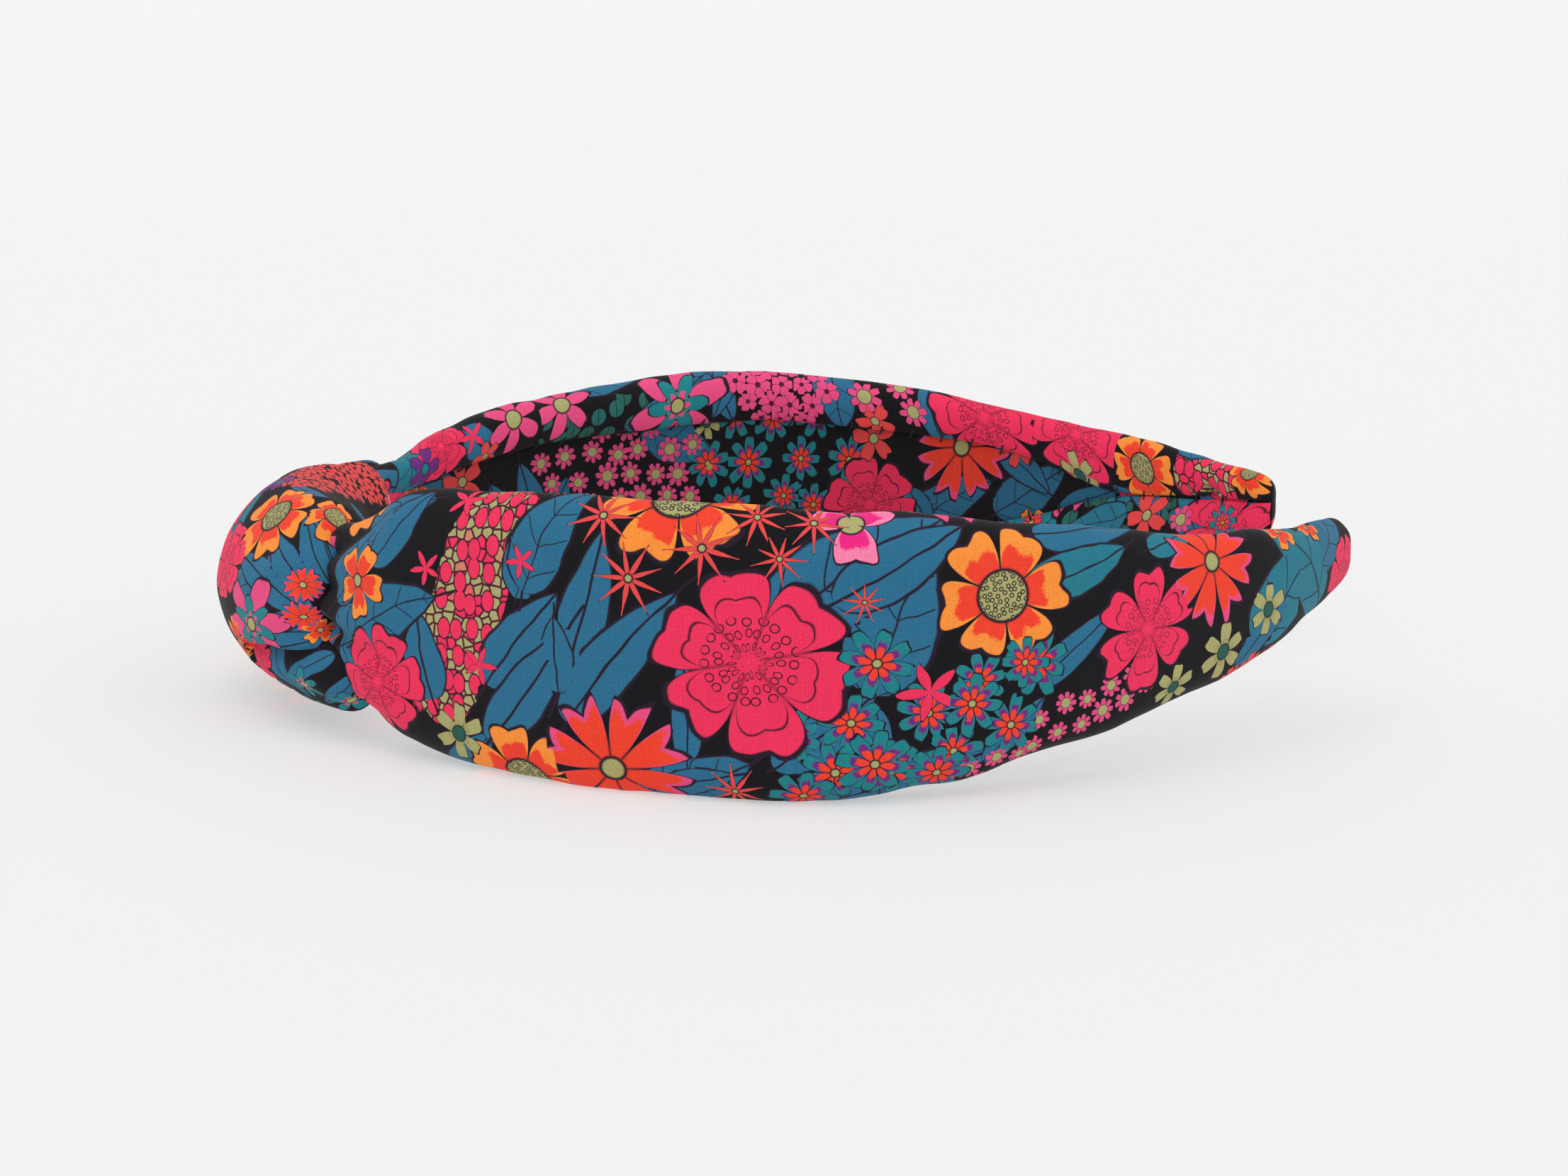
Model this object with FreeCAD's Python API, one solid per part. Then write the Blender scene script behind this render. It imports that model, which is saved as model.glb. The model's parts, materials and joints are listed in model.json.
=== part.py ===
"""Knotted fabric headband, lying on its edge as it rests on a table.

Millimetres. +Z is up, -X points to the knot at the crown, +X to the two tips. The left arm is on the
-Y side and the right arm on the +Y side. The origin is on the table, under the middle of the object.
Each arm is a springy plastic core, padded and covered with printed cotton. The cover's edges roll over
to the inside, where a lining strip hides the core. The crown holds the knot.
"""

import math
import os

import FreeCAD
import Part

V = FreeCAD.Vector

# Plan shape of the band: a horseshoe whose middle line is a superellipse.
PLAN_POWER = 1.7
PLAN_CENTRE_X = 3.0
CROWN_REACH = 76.0
TIP_REACH = 84.0
HALF_SPAN = 68.5
TIP_X = 81.5

# Places along an arm, as arc length from the crown.
WRAP_END_S = 29.5
TUCK_START_S = 29.9
TUCK_END_S = 34.0
PIVOT_S = 34.8
ARM_START_S = 36.2

# Half width of the band and height of its middle line along an arm: (arc length, value).
HALF_WIDTH = [(0, 11.0), (28, 12.0), (36, 13.6), (47, 16.8), (62, 18.6), (90, 19.3), (121, 17.8),
              (154, 13.2), (180, 8.9), (206, 4.9)]
MID_HEIGHT = [(0, 17.2), (36, 17.8), (64, 19.3), (90, 19.4), (150, 19.8), (206, 24.0)]
BULK = [(0, 1.0), (36, 1.0), (70, 1.0), (150, 0.86), (206, 0.58)]

# Layers of an arm, from the outer cloth inwards.
CLOTH = 1.0
INTERFACING = 0.35
LAYER_GAP = 0.12
OUTER_CROWN = 5.0
LIP_SHARE = 0.46
CORE_THICK = 1.6
CORE_SHARE = 0.52
LINING_THICK = 0.7
TIP_FOLD_LENGTH = 2.2
OUTER_FACE = 4

# The knot: (arc length from the crown, reach outwards, reach inwards, half height).
KNOT_SECTIONS = [(-29.5, 6.8, 6.0, 13.2), (-25.5, 9.6, 8.0, 15.6), (-14.0, 11.8, 10.5, 16.9),
                 (0.0, 12.2, 12.5, 17.2), (14.0, 11.8, 10.5, 16.9), (25.5, 9.6, 8.0, 15.6),
                 (29.5, 6.8, 6.0, 13.2)]
KNOT_HEIGHT = 17.2
SLEEVE_OUT = 5.0
SLEEVE_IN = 4.4
SLEEVE_HALF = 11.0
SLEEVE_CLEAR = 0.15

# Thread.
THREAD_R = 0.3
SEAM_FIRST_S = 49.0
SEAM_LAST_S = 182.0
SEAM_STITCHES = 14
SEAM_STITCH = 2.4
TIP_STITCHES = 4
TIP_STITCH = 2.2
TIP_PITCH = 1.0
TACK_STITCHES = 5
TACK_STITCH = 2.4
TACK_PITCH = 2.0
THREAD_CLEAR = 0.1

SIDES = {"left": -1, "right": 1}
PLAN_SAMPLES = 19
ARM_SECTIONS = 17
KNOT_STATIONS = 7


def smooth(table, x):
    """Value at x of a smooth curve through the table's points, flat past its ends."""
    if x <= table[0][0]:
        return table[0][1]
    if x >= table[-1][0]:
        return table[-1][1]
    i = max(k for k in range(len(table) - 1) if table[k][0] <= x)

    def slope(k):
        a, b = table[max(k - 1, 0)], table[min(k + 1, len(table) - 1)]
        return (b[1] - a[1]) / (b[0] - a[0])

    (x0, y0), (x1, y1) = table[i], table[i + 1]
    h = x1 - x0
    t = (x - x0) / h
    return (y0 * (1 + 2 * t) * (1 - t) ** 2 + h * slope(i) * t * (1 - t) ** 2
            + y1 * t * t * (3 - 2 * t) + h * slope(i + 1) * t * t * (t - 1))


def plan_point(angle):
    """Point of the horseshoe's middle line; angle 0 is the crown and pi would close it."""
    c, s = math.cos(angle), math.sin(angle)
    reach = CROWN_REACH if c > 0 else TIP_REACH
    power = 2 / PLAN_POWER
    return V(PLAN_CENTRE_X - math.copysign(reach * abs(c) ** power, c),
             math.copysign(HALF_SPAN * abs(s) ** power, s), 0)


def middle_line():
    """The band's middle line in plan, from the left tip round the crown to the right tip."""
    tip_cos = -(((TIP_X - PLAN_CENTRE_X) / TIP_REACH) ** (PLAN_POWER / 2))
    tip_angle = math.acos(tip_cos)
    curve = Part.BSplineCurve()
    curve.interpolate(Points=[plan_point(a) for a in stations(-tip_angle, tip_angle, PLAN_SAMPLES)])
    return curve


def stations(first, last, count):
    return [first + (last - first) * i / (count - 1) for i in range(count)]


LINE = middle_line()
ARM_LENGTH = LINE.length() / 2
CROWN = LINE.parameterAtDistance(ARM_LENGTH, LINE.FirstParameter)


def station(s):
    """Point, outward normal and direction of the band's middle line at a signed arc length."""
    s = max(-ARM_LENGTH, min(s, ARM_LENGTH))
    u = LINE.parameterAtDistance(s, CROWN)
    p, t = LINE.value(u), LINE.tangent(u)[0]
    return p, V(-t.y, t.x, 0), t


def place(s, n, z):
    """Point at n outwards from the middle line and z above the band's own middle height."""
    p, normal, _ = station(s)
    return p + normal * n + V(0, 0, z + smooth(MID_HEIGHT, abs(s)))


def width_at(s):
    return smooth(HALF_WIDTH, abs(s))


def bulk_at(s):
    return smooth(BULK, abs(s))


def lip_at(s):
    """How far the cover's rolled edge reaches over the inside."""
    return width_at(s) * LIP_SHARE


def cover_curve(s, inset):
    """Half of the cover's section, from the end of the upper lip to the middle of the outer face."""
    w, k, lip = width_at(s), bulk_at(s), lip_at(s)
    points = [(-2.3 * k, w - lip), (-3.7 * k, w - 0.6 * lip), (-2.9 * k, w - 0.16 * lip), (0.2 * k, w),
              (3.0 * k, w - 1.7 * k), (4.5 * k, 0.56 * w), (OUTER_CROWN * k, 0.0)]
    moved = []
    for i, (n, z) in enumerate(points):
        a, b = points[max(i - 1, 0)], points[min(i + 1, len(points) - 1)]
        dn, dz = b[0] - a[0], b[1] - a[1]
        if i == len(points) - 1:
            dn, dz = 0.0, -1.0
        length = math.hypot(dn, dz)
        moved.append((n + inset * dz / length, z - inset * dn / length))
    return moved


def full_curve(s, inset):
    """The cover's whole section, upper lip to lower lip, as (n, z) points."""
    half = cover_curve(s, inset)
    return half + [(n, -z) for n, z in reversed(half[:-1])]


def spline(points, skip=0):
    """Smooth edge through the points, without its first and last few if skip says so."""
    curve = Part.BSplineCurve()
    curve.interpolate(Points=points)
    if skip:
        curve.segment(curve.parameter(points[skip]), curve.parameter(points[-1 - skip]))
    return curve.toShape()


def line(a, b):
    return Part.LineSegment(a, b).toShape()


def loft(wires):
    return Part.makeLoft(wires, True, False)


def shell_section(s, outer_inset, inner_inset, skip=0):
    """Closed wire between two insets of the cover's section, C-shaped unless its ends are skipped."""
    outer = [place(s, n, z) for n, z in full_curve(s, outer_inset)]
    inner = [place(s, n, z) for n, z in reversed(full_curve(s, inner_inset))]
    return Part.Wire([spline(outer, skip), line(outer[-1 - skip], inner[skip]),
                      spline(inner, skip), line(inner[-1 - skip], outer[skip])])


def box_section(s, n0, n1, half):
    corners = [place(s, n0, -half), place(s, n1, -half), place(s, n1, half), place(s, n0, half)]
    return Part.makePolygon(corners + corners[:1])


def arm_end():
    return ARM_LENGTH - TIP_FOLD_LENGTH - LAYER_GAP


def arm_stations():
    """The sections that every long piece of an arm shares, so that the layers stay parallel."""
    return stations(ARM_START_S, arm_end(), ARM_SECTIONS)


def cover(side):
    return loft([shell_section(side * s, 0, CLOTH * bulk_at(s)) for s in arm_stations()])


def interfacing(side):
    """Fused stiffener on the cover's hidden side, over the outer face only."""
    wires = []
    for s in arm_stations()[:-1]:
        start = CLOTH * bulk_at(s) + LAYER_GAP
        wires.append(shell_section(side * s, start, start + INTERFACING, OUTER_FACE))
    return loft(wires)


def core_half(s):
    return width_at(s) * CORE_SHARE


def core(side):
    """Half of the springy plastic band, with a rounded end."""
    body = loft([box_section(side * s, -CORE_THICK / 2, CORE_THICK / 2, core_half(s))
                 for s in arm_stations()])
    p, _, t = station(side * arm_end())
    ends = [e for e in body.Edges
            if e.Length < CORE_THICK * 1.2 and abs((e.CenterOfMass - p).dot(t)) < 0.5]
    return body.makeFillet(core_half(arm_end()) * 0.7, ends)


def pad(side):
    """Wadding between the core's outer face and the cover."""
    wires = []
    flat = CORE_THICK / 2 + LAYER_GAP
    for s in arm_stations()[:-1]:
        section = full_curve(s, CLOTH * bulk_at(s) + INTERFACING + 2 * LAYER_GAP)
        outer = [place(side * s, n, z) for n, z in section]
        top = section[OUTER_FACE][1]
        a, b = place(side * s, flat, -top), place(side * s, flat, top)
        wires.append(Part.Wire([spline(outer, OUTER_FACE), line(outer[-1 - OUTER_FACE], a), line(a, b),
                                line(b, outer[OUTER_FACE])]))
    return loft(wires)


def edge_fill(side):
    """The turned-in seam allowance that fills the cover's two rolled edges."""
    rolls = []
    for up in (1, -1):
        wires = []
        for s in arm_stations()[1:-1]:
            w, k, lip = width_at(s), bulk_at(s), lip_at(s)
            low = core_half(s) + LAYER_GAP * 2
            high = w - CLOTH * k - 1.35 * k
            n0, n1 = -1.3 * k, 0.7 * k
            if high - low < 0.4:
                high = low + 0.4
            corners = [place(side * s, n0, up * low), place(side * s, n1, up * low),
                       place(side * s, n1, up * high), place(side * s, n0, up * high)]
            wires.append(Part.makePolygon(corners + corners[:1]))
        rolls.append(loft(wires))
    return Part.makeCompound(rolls)


def lining_half(s):
    return width_at(s) - lip_at(s) * 0.93


def lining(side):
    """Cloth strip that hides the core on the inside of the arm."""
    back = -CORE_THICK / 2 - LAYER_GAP
    return loft([box_section(side * s, back - LINING_THICK * bulk_at(s), back, lining_half(s) * 0.9)
                 for s in arm_stations()])


def tip_fold(side):
    """Cloth tucked in across the end of the arm."""
    wires = []
    for s in (ARM_LENGTH - TIP_FOLD_LENGTH, ARM_LENGTH - TIP_FOLD_LENGTH * 0.45, ARM_LENGTH):
        inset = 0.0 if s < ARM_LENGTH - 0.1 else 0.8
        curve = [place(side * s, n, z) for n, z in full_curve(min(s, ARM_LENGTH), inset)]
        wires.append(Part.Wire([spline(curve), Part.LineSegment(curve[-1], curve[0]).toShape()]))
    return loft(wires)


def stitch(a, b):
    direction = b - a
    return Part.makeCylinder(THREAD_R, direction.Length, a, direction)


def seam_stitches(side):
    """Slip stitches that hold the lining to the rolled edges."""
    threads = []
    for s in stations(SEAM_FIRST_S, SEAM_LAST_S, SEAM_STITCHES):
        for up in (1, -1):
            out = -CORE_THICK / 2 - LAYER_GAP - LINING_THICK * bulk_at(s) - THREAD_R - THREAD_CLEAR
            z = up * (lining_half(s) * 0.9 - 1.0)
            threads.append(stitch(place(side * s, out, z), place(side * (s + SEAM_STITCH), out, z)))
    return Part.makeCompound(threads)


def tip_stitches(side):
    """Hand stitches that close the arm's end on the inside."""
    s0 = ARM_LENGTH - TIP_FOLD_LENGTH - 1.0
    threads = []
    for i in range(TIP_STITCHES):
        z = (i - (TIP_STITCHES - 1) / 2) * TIP_PITCH
        under = CORE_THICK / 2 + LAYER_GAP + LINING_THICK * bulk_at(s0 - TIP_STITCH)
        n = -under - THREAD_R - 2 * THREAD_CLEAR
        threads.append(stitch(place(side * (s0 - TIP_STITCH), n, z), place(side * s0, n, z)))
    return Part.makeCompound(threads)


def oval_wire(s, out, inn, half, height):
    """Oval section across the band at a signed arc length, as a closed spline."""
    p, normal, _ = station(s)
    points = []
    for i in range(12):
        a = 2 * math.pi * i / 12
        n = math.cos(a) * (out if math.cos(a) > 0 else inn)
        points.append(p + normal * n + V(0, 0, height + half * math.sin(a)))
    curve = Part.BSplineCurve()
    curve.interpolate(Points=points, PeriodicFlag=True)
    return Part.Wire([curve.toShape()])


def crown_sleeve_body(extra, end):
    return loft([oval_wire(s, SLEEVE_OUT + extra, SLEEVE_IN + extra, SLEEVE_HALF + extra, KNOT_HEIGHT)
                 for s in stations(-end, end, KNOT_STATIONS)])


def core_crown():
    """Middle of the plastic band, inside the knot."""
    return loft([box_section(s, -CORE_THICK / 2, CORE_THICK / 2, SLEEVE_HALF * 0.72)
                 for s in stations(-TUCK_END_S, TUCK_END_S, KNOT_STATIONS)])


def core_room():
    room = CORE_THICK / 2 + LAYER_GAP
    return loft([box_section(s, -room, room, SLEEVE_HALF * 0.72 + LAYER_GAP)
                 for s in stations(-TUCK_END_S, TUCK_END_S, KNOT_STATIONS)])


def crown_sleeve():
    """The gathered tube of cloth that runs through the knot, around the core."""
    return crown_sleeve_body(0, WRAP_END_S).cut(core_room())


def knot_wrap():
    """The bulging turn of cloth around the crown."""
    body = loft([oval_wire(s, out, inn, half, KNOT_HEIGHT) for s, out, inn, half in KNOT_SECTIONS])
    return body.cut(crown_sleeve_body(SLEEVE_CLEAR, WRAP_END_S + 3))


def knot_tuck(side):
    """Gathered end of an arm's cover where it goes under the knot."""
    wires = [oval_wire(side * s, 5.2 + g, 4.6, 12.2 + g, KNOT_HEIGHT + g * 0.6)
             for s, g in ((TUCK_START_S, 0.0), ((TUCK_START_S + TUCK_END_S) / 2, 0.2), (TUCK_END_S, 0.4))]
    return loft(wires).cut(core_room())


def knot_stitches():
    """Tack stitches on the inside of the knot that fix it to the band."""
    threads = []
    _, _, inner, half = next(row for row in KNOT_SECTIONS if row[0] == 0)
    for i in range(TACK_STITCHES):
        z = (i - (TACK_STITCHES - 1) / 2) * TACK_PITCH
        reach = inner * math.sqrt(1 - (z / half) ** 2) + THREAD_R + THREAD_CLEAR
        z += KNOT_HEIGHT - smooth(MID_HEIGHT, 0)
        threads.append(stitch(place(-TACK_STITCH / 2, -reach, z), place(TACK_STITCH / 2, -reach, z)))
    return Part.makeCompound(threads)


def build():
    nodes = {"core_crown": core_crown(), "crown_sleeve": crown_sleeve(), "knot_wrap": knot_wrap(),
             "knot_stitches": knot_stitches()}
    makers = {"core": core, "pad": pad, "edge_fill": edge_fill, "interfacing": interfacing, "cover": cover,
              "lining": lining, "tip_fold": tip_fold, "tip_stitches": tip_stitches,
              "seam_stitches": seam_stitches, "knot_tuck": knot_tuck}
    for side, sign in SIDES.items():
        for name, make in makers.items():
            nodes[f"{name}_{side}"] = make(sign)
    return nodes


def main():
    nodes = build()
    bounds = FreeCAD.BoundBox()
    for shape in nodes.values():
        bounds.add(shape.optimalBoundingBox())
    to_origin = V(-bounds.Center.x, -bounds.Center.y, -bounds.ZMin)
    os.makedirs("parts", exist_ok=True)
    for name, shape in nodes.items():
        shape.translate(to_origin)
        shape.exportStep(f"parts/{name}.step")
        print(f"{name:20s} solids {len(shape.Solids)} valid {shape.isValid()} volume {shape.Volume:9.1f} mm3")
    pivot = station(PIVOT_S)[0] + to_origin
    print("arm length", round(ARM_LENGTH, 1), "pivot", round(pivot.x, 2), round(pivot.y, 2),
          "shift", [round(c, 3) for c in to_origin], "size", round(bounds.XLength, 1),
          round(bounds.YLength, 1), round(bounds.ZLength, 1))


main()
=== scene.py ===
"""Looks of the knotted fabric headband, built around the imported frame.

Lengths are millimetres, in the band's own terms: s along the band from the crown, n outwards, z up. The cloth
lying flat has s along it and v across it. Meshes are written in metres, in the row frame.
"""
import json
import math
import random
from functools import partialmethod

import bpy
import numpy as np
from mathutils import Matrix, Vector, noise


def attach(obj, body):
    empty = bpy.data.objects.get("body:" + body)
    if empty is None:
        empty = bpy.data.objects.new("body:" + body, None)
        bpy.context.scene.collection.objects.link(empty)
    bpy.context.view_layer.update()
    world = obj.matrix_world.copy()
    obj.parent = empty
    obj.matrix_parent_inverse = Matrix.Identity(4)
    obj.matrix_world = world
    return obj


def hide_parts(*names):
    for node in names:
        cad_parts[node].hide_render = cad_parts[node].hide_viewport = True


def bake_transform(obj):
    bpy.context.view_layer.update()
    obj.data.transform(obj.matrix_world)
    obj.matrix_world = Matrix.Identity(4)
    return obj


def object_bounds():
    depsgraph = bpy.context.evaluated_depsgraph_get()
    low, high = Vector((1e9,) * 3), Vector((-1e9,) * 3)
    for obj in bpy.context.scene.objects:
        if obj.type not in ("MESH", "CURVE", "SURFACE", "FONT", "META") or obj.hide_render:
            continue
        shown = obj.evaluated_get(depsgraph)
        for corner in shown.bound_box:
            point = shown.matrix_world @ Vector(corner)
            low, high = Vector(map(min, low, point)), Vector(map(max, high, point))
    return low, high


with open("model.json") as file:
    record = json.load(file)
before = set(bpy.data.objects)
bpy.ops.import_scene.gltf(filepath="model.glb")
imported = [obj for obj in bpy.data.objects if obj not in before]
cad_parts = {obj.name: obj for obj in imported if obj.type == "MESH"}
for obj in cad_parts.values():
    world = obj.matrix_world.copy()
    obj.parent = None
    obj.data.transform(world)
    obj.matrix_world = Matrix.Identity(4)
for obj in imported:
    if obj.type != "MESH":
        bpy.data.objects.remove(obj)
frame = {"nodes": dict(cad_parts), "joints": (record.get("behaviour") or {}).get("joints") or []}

CAD_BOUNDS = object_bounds()
MM = 0.001

# The band, as in the frame. In plan it is a rounded oval about PLAN_CENTRE_X, open between the tips.
PLAN_POWER, PLAN_CENTRE_X = 1.7, 3.0
CROWN_REACH, TIP_REACH, HALF_SPAN = 76.0, 84.0, 68.5
TIP_X = 81.5
PLAN_SAMPLES, LINE_SAMPLES = 19, 4001
PIVOT_S = 34.8
# Along an arm, by s: half width, height of the middle, share of the full thickness, and share of the half
# width that each of the cover's lips takes.
HALF_WIDTH = [(0, 11.0), (28, 12.0), (36, 13.6), (47, 16.8), (62, 18.6), (90, 19.3), (121, 17.8),
              (154, 13.2), (180, 8.9), (206, 4.9)]
WIDEST = 19.3
MID_HEIGHT = [(0, 17.2), (36, 17.8), (64, 19.3), (90, 19.4), (150, 19.8), (206, 24.0)]
BULK = [(0, 1.0), (36, 1.0), (70, 1.0), (150, 0.86), (206, 0.58)]
LIP_SHARES = [(0, 0.46), (148, 0.46), (163, 0.66), (176, 0.96), (206, 0.98)]
OUTER_CROWN = 5.0
KNOT_HEIGHT = 17.2
# Sections of the big turn: s, reach outwards, reach inwards and half height.
KNOT_SECTIONS = [(-28.5, 7.6, 6.0, 13.2), (-24.0, 9.9, 8.0, 15.1), (-14.0, 11.6, 10.5, 15.5),
                 (0.0, 12.0, 12.5, 15.8), (14.0, 11.6, 10.5, 15.5), (24.0, 9.9, 8.0, 15.1),
                 (28.5, 7.6, 6.0, 13.2)]
SIDES = {"left": -1, "right": 1}

# How the cloth lies: where the covers start inside the knot and where they fold under its edge.
COVER_START_S, KNOT_FOLD_S = 14.0, 26.5
CELL, COVER_COLUMNS, LINING_COLUMNS, SECTION_SAMPLES = 1.0, 84, 28, 241
# The lower lip is slacker than the upper one, until both close the tip.
LOWER_SLACK, CLOSED_SHARE = 0.42, 0.98
# The tip is rounded off over its last TIP_ROUND, down to shares of its thickness and height.
TIP_ROUND, TIP_ROWS = 3.0, 7
TIP_MIDDLE_N = 0.35
TIP_PINCH, TIP_SQUASH = 0.05, 0.72
TIP_TUCK, TIP_TUCK_S = 1.3, 4.5
TIP_CALM, TIP_CALM_RUN = 0.6, 30.0
TABLE_GAP = 0.08
# The lining lies this deep in a full section, bows out by this and goes this far under the lips.
LINING_DEPTH, LINING_BOW, LINING_TUCK = 1.45, 0.35, 1.3
# An arm swells beside the knot, and the knot squeezes its end.
KNOT_PUFF, KNOT_PUFF_S, KNOT_PUFF_RUN = 0.22, 40.0, 9.0
KNOT_GATHER, KNOT_GATHER_RUN = 0.25, 6.0
STITCH_START_S, STITCH_PITCH, STITCH_RADIUS = 44.0, 5.5, 0.17
THREAD_SIDES, THREAD_POINTS = 6, 9
BLEND_S = (31.0, 38.0)
# The cloth itself: pitch of its threads, and how much painted shade darkens the lining's print, standing in
# for the shade that falls inside the band under its lips.
THREAD, LINING_PAINTED_SHADE = 0.30, 0.30
COTTON_SURFACE = {"Specular IOR Level": 0.16, "Sheen Weight": 0.06, "Sheen Roughness": 0.45}
# Amount, size and seed of the lumps in each cloth, and of what bends its folds.
ARM_LUMPS = ((0.70, 22, 1), (0.26, 9, 2))
EDGE_PUCKERS = ((0.30, 5.5, 3), (0.55, 13, 7))
GATHER_BENDS = (1.8, 26, 4)
LINING_LUMPS, LINING_RUCKS = (0.16, 7, 5), (0.2, 13, 6)
KNOT_LUMPS, KNOT_BENDS = ((0.50, 15, 11), (0.22, 6, 12)), (4.2, 20, 13)
UNDER_LUMPS, UNDER_BENDS = (0.35, 9, 21), (2.5, 16, 22)
# Depth and count of the folds: gathers across an arm at the knot, and folds round each part of the knot.
GATHER_DEPTH, GATHERS = 0.42, 2.6
KNOT_FOLD_DEPTH, KNOT_FOLDS, KNOT_SLANT = 0.22, 7, 0.9
UNDER_FOLD_DEPTH, UNDER_FOLDS = 0.30, 6

# The stage: the camera's angles in degrees, its target and distance, and its focal length in sensor widths.
CAMERA_ELEVATION, CAMERA_YAW, CAMERA_ROLL = 11.4, -5.8, 0.36
CAMERA_TARGET, CAMERA_DISTANCE, CAMERA_FOCAL = (1.3, 0.0, 14.6), 436.0, 1.81
SENSOR = 36.0
WHITE = (1.0, 1.0, 1.0, 1.0)
FLOOR_SURFACE = {"Base Color": (0.42, 0.42, 0.42, 1.0), "Roughness": 0.9, "Specular IOR Level": 0.1,
                 "Emission Color": WHITE, "Emission Strength": 0.45}
# The floor's rings: radius and rise of each, in metres.
FLOOR_SIDES = 96
FLOOR_RINGS_M = ((4.0, 0.0), (9.0, 0.0), (12.0, 0.5), (14.0, 2.0), (15.0, 5.0))
WORLD_STRENGTH = 0.70
# Name, strength, spread in degrees and direction of each sun.
SUNS = (("overhead", 0.8, 60, (0.2, 0.25, -1.0)), ("front", 0.30, 60, (0.3, 1.0, -0.6)),
        ("right", 0.40, 60, (-1.0, 0.45, -0.5)))

# How far each arm's edges have settled up or down from the frame's shape, by arc length.
TOP_SHIFT = {"left": [(30, 0.5), (40, 2.0), (47, 2.0), (62, 0.4), (120, 0.0), (180, -0.7), (206, -0.8)],
             "right": [(30, -0.5), (46, -2.0), (64, -1.6), (86, -0.3), (107, 1.2), (131, 1.8), (165, 1.1),
                       (190, -0.3), (206, -0.9)]}
BOTTOM_SHIFT = [(30, 0.0), (48, -0.7), (99, -0.4), (119, 0.1), (135, 1.5), (160, 0.9), (174, 1.2), (190, 0.6),
                (204, -1.1)]

# The knot: one big turn, and an under turn at each side, half a turn apart.
KNOT_END_S, KNOT_ROUND = 27.0, 1.15
KNOT_ROLL, ROLL_ARC, ROLL_ROWS = 2.4, 0.8 * math.pi, 8
KNOT_CELL, KNOT_COLUMNS = 0.8, 120
KNOT_GIRTH, UNDER_GIRTH = 14.5, 8.0
KNOT_RECESS, RECESS_ANGLE, RECESS_REACH = 0.30, 1.08, 0.66
# Pleats: start, end, depth and width. Their ends are s and v on an arm, and s and angle round the knot.
ARM_PLEATS = [((28, -1.0), (50, -6.0), 2.0, 1.3), ((28, 9.5), (44, 15.5), 1.6, 1.4),
              ((28, -12), (43, -14.5), 1.3, 1.4), ((28, 4.0), (39, 5.5), 1.2, 1.3)]
KNOT_PLEATS = [((30, 1.15), (16, 0.45), 1.3, 1.6), ((30, 0.2), (19, 0.0), 0.5, 2.0)]
# An under turn from its arm inwards: s, n, rise, half width and half height.
UNDER_COLUMNS, UNDER_ROWS = 64, 60
UNDER_PATH = [(38, 1.0, 6.4, 1.5, 1.5), (35.5, 1.6, 7.6, 4.2, 4.4), (29, 2.2, 7.7, 5.6, 5.2),
              (21, 2.6, 7.8, 6.0, 5.2), (12, 2.4, 7.0, 5.8, 5.0), (5, 1.6, 5.6, 5.2, 4.4),
              (-2, 1.0, 4.0, 4.0, 4.0)]


# ---- Curves and surfaces

def smooth(table, x):
    """Values at x of a smooth curve through the table's points, flat past its ends."""
    knots, values = (np.array(c, float) for c in zip(*table))
    slopes = np.gradient(values)
    slopes[1:-1] = (values[2:] - values[:-2]) / (knots[2:] - knots[:-2])
    slopes[[0, -1]] = (values[[1, -1]] - values[[0, -2]]) / (knots[[1, -1]] - knots[[0, -2]])
    x = np.clip(np.asarray(x, float), knots[0], knots[-1])
    i = np.clip(np.searchsorted(knots, x, side="right") - 1, 0, len(knots) - 2)
    h = knots[i + 1] - knots[i]
    t = (x - knots[i]) / h
    return (values[i] * (1 + 2 * t) * (1 - t) ** 2 + h * slopes[i] * t * (1 - t) ** 2
            + values[i + 1] * t * t * (3 - 2 * t) + h * slopes[i + 1] * t * t * (t - 1))


def step(x, low, high):
    """0 below low, 1 above high, smooth between."""
    t = np.clip((np.asarray(x, float) - low) / (high - low), 0, 1)
    return t * t * (3 - 2 * t)


def spline(points, count):
    """count points on the natural cubic spline through the given ones, by chord length."""
    points = np.array(points, float)
    at, size = lengths(points), len(points)
    h = np.diff(at)
    matrix, right = np.eye(size), np.zeros_like(points)
    for i in range(1, size - 1):
        matrix[i, i - 1:i + 2] = h[i - 1], 2 * (h[i - 1] + h[i]), h[i]
        right[i] = 6 * ((points[i + 1] - points[i]) / h[i] - (points[i] - points[i - 1]) / h[i - 1])
    bend = np.linalg.solve(matrix, right)
    x = np.linspace(0, at[-1], count)
    i = np.clip(np.searchsorted(at, x, side="right") - 1, 0, size - 2)
    a, b = ((at[i + 1] - x) / h[i])[:, None], ((x - at[i]) / h[i])[:, None]
    square = (h[i] ** 2 / 6)[:, None]
    return a * points[i] + b * points[i + 1] + ((a ** 3 - a) * bend[i] + (b ** 3 - b) * bend[i + 1]) * square


def lengths(points):
    """Arc length at each point of a line."""
    return np.concatenate([[0], np.cumsum(np.linalg.norm(np.diff(points, axis=0), axis=1))])


def unit(vectors):
    """Vectors scaled to length 1."""
    return vectors / np.maximum(np.linalg.norm(vectors, axis=-1, keepdims=True), 1e-9)


def bell(x, middle, width):
    """1 at the middle, fading to 0 over about twice the width."""
    return np.exp(-((x - middle) / width) ** 2)


def wrapped(offset, ring):
    """An offset round a cloth, the short way where it is a ring."""
    return (offset + ring / 2) % ring - ring / 2 if ring else offset


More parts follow.
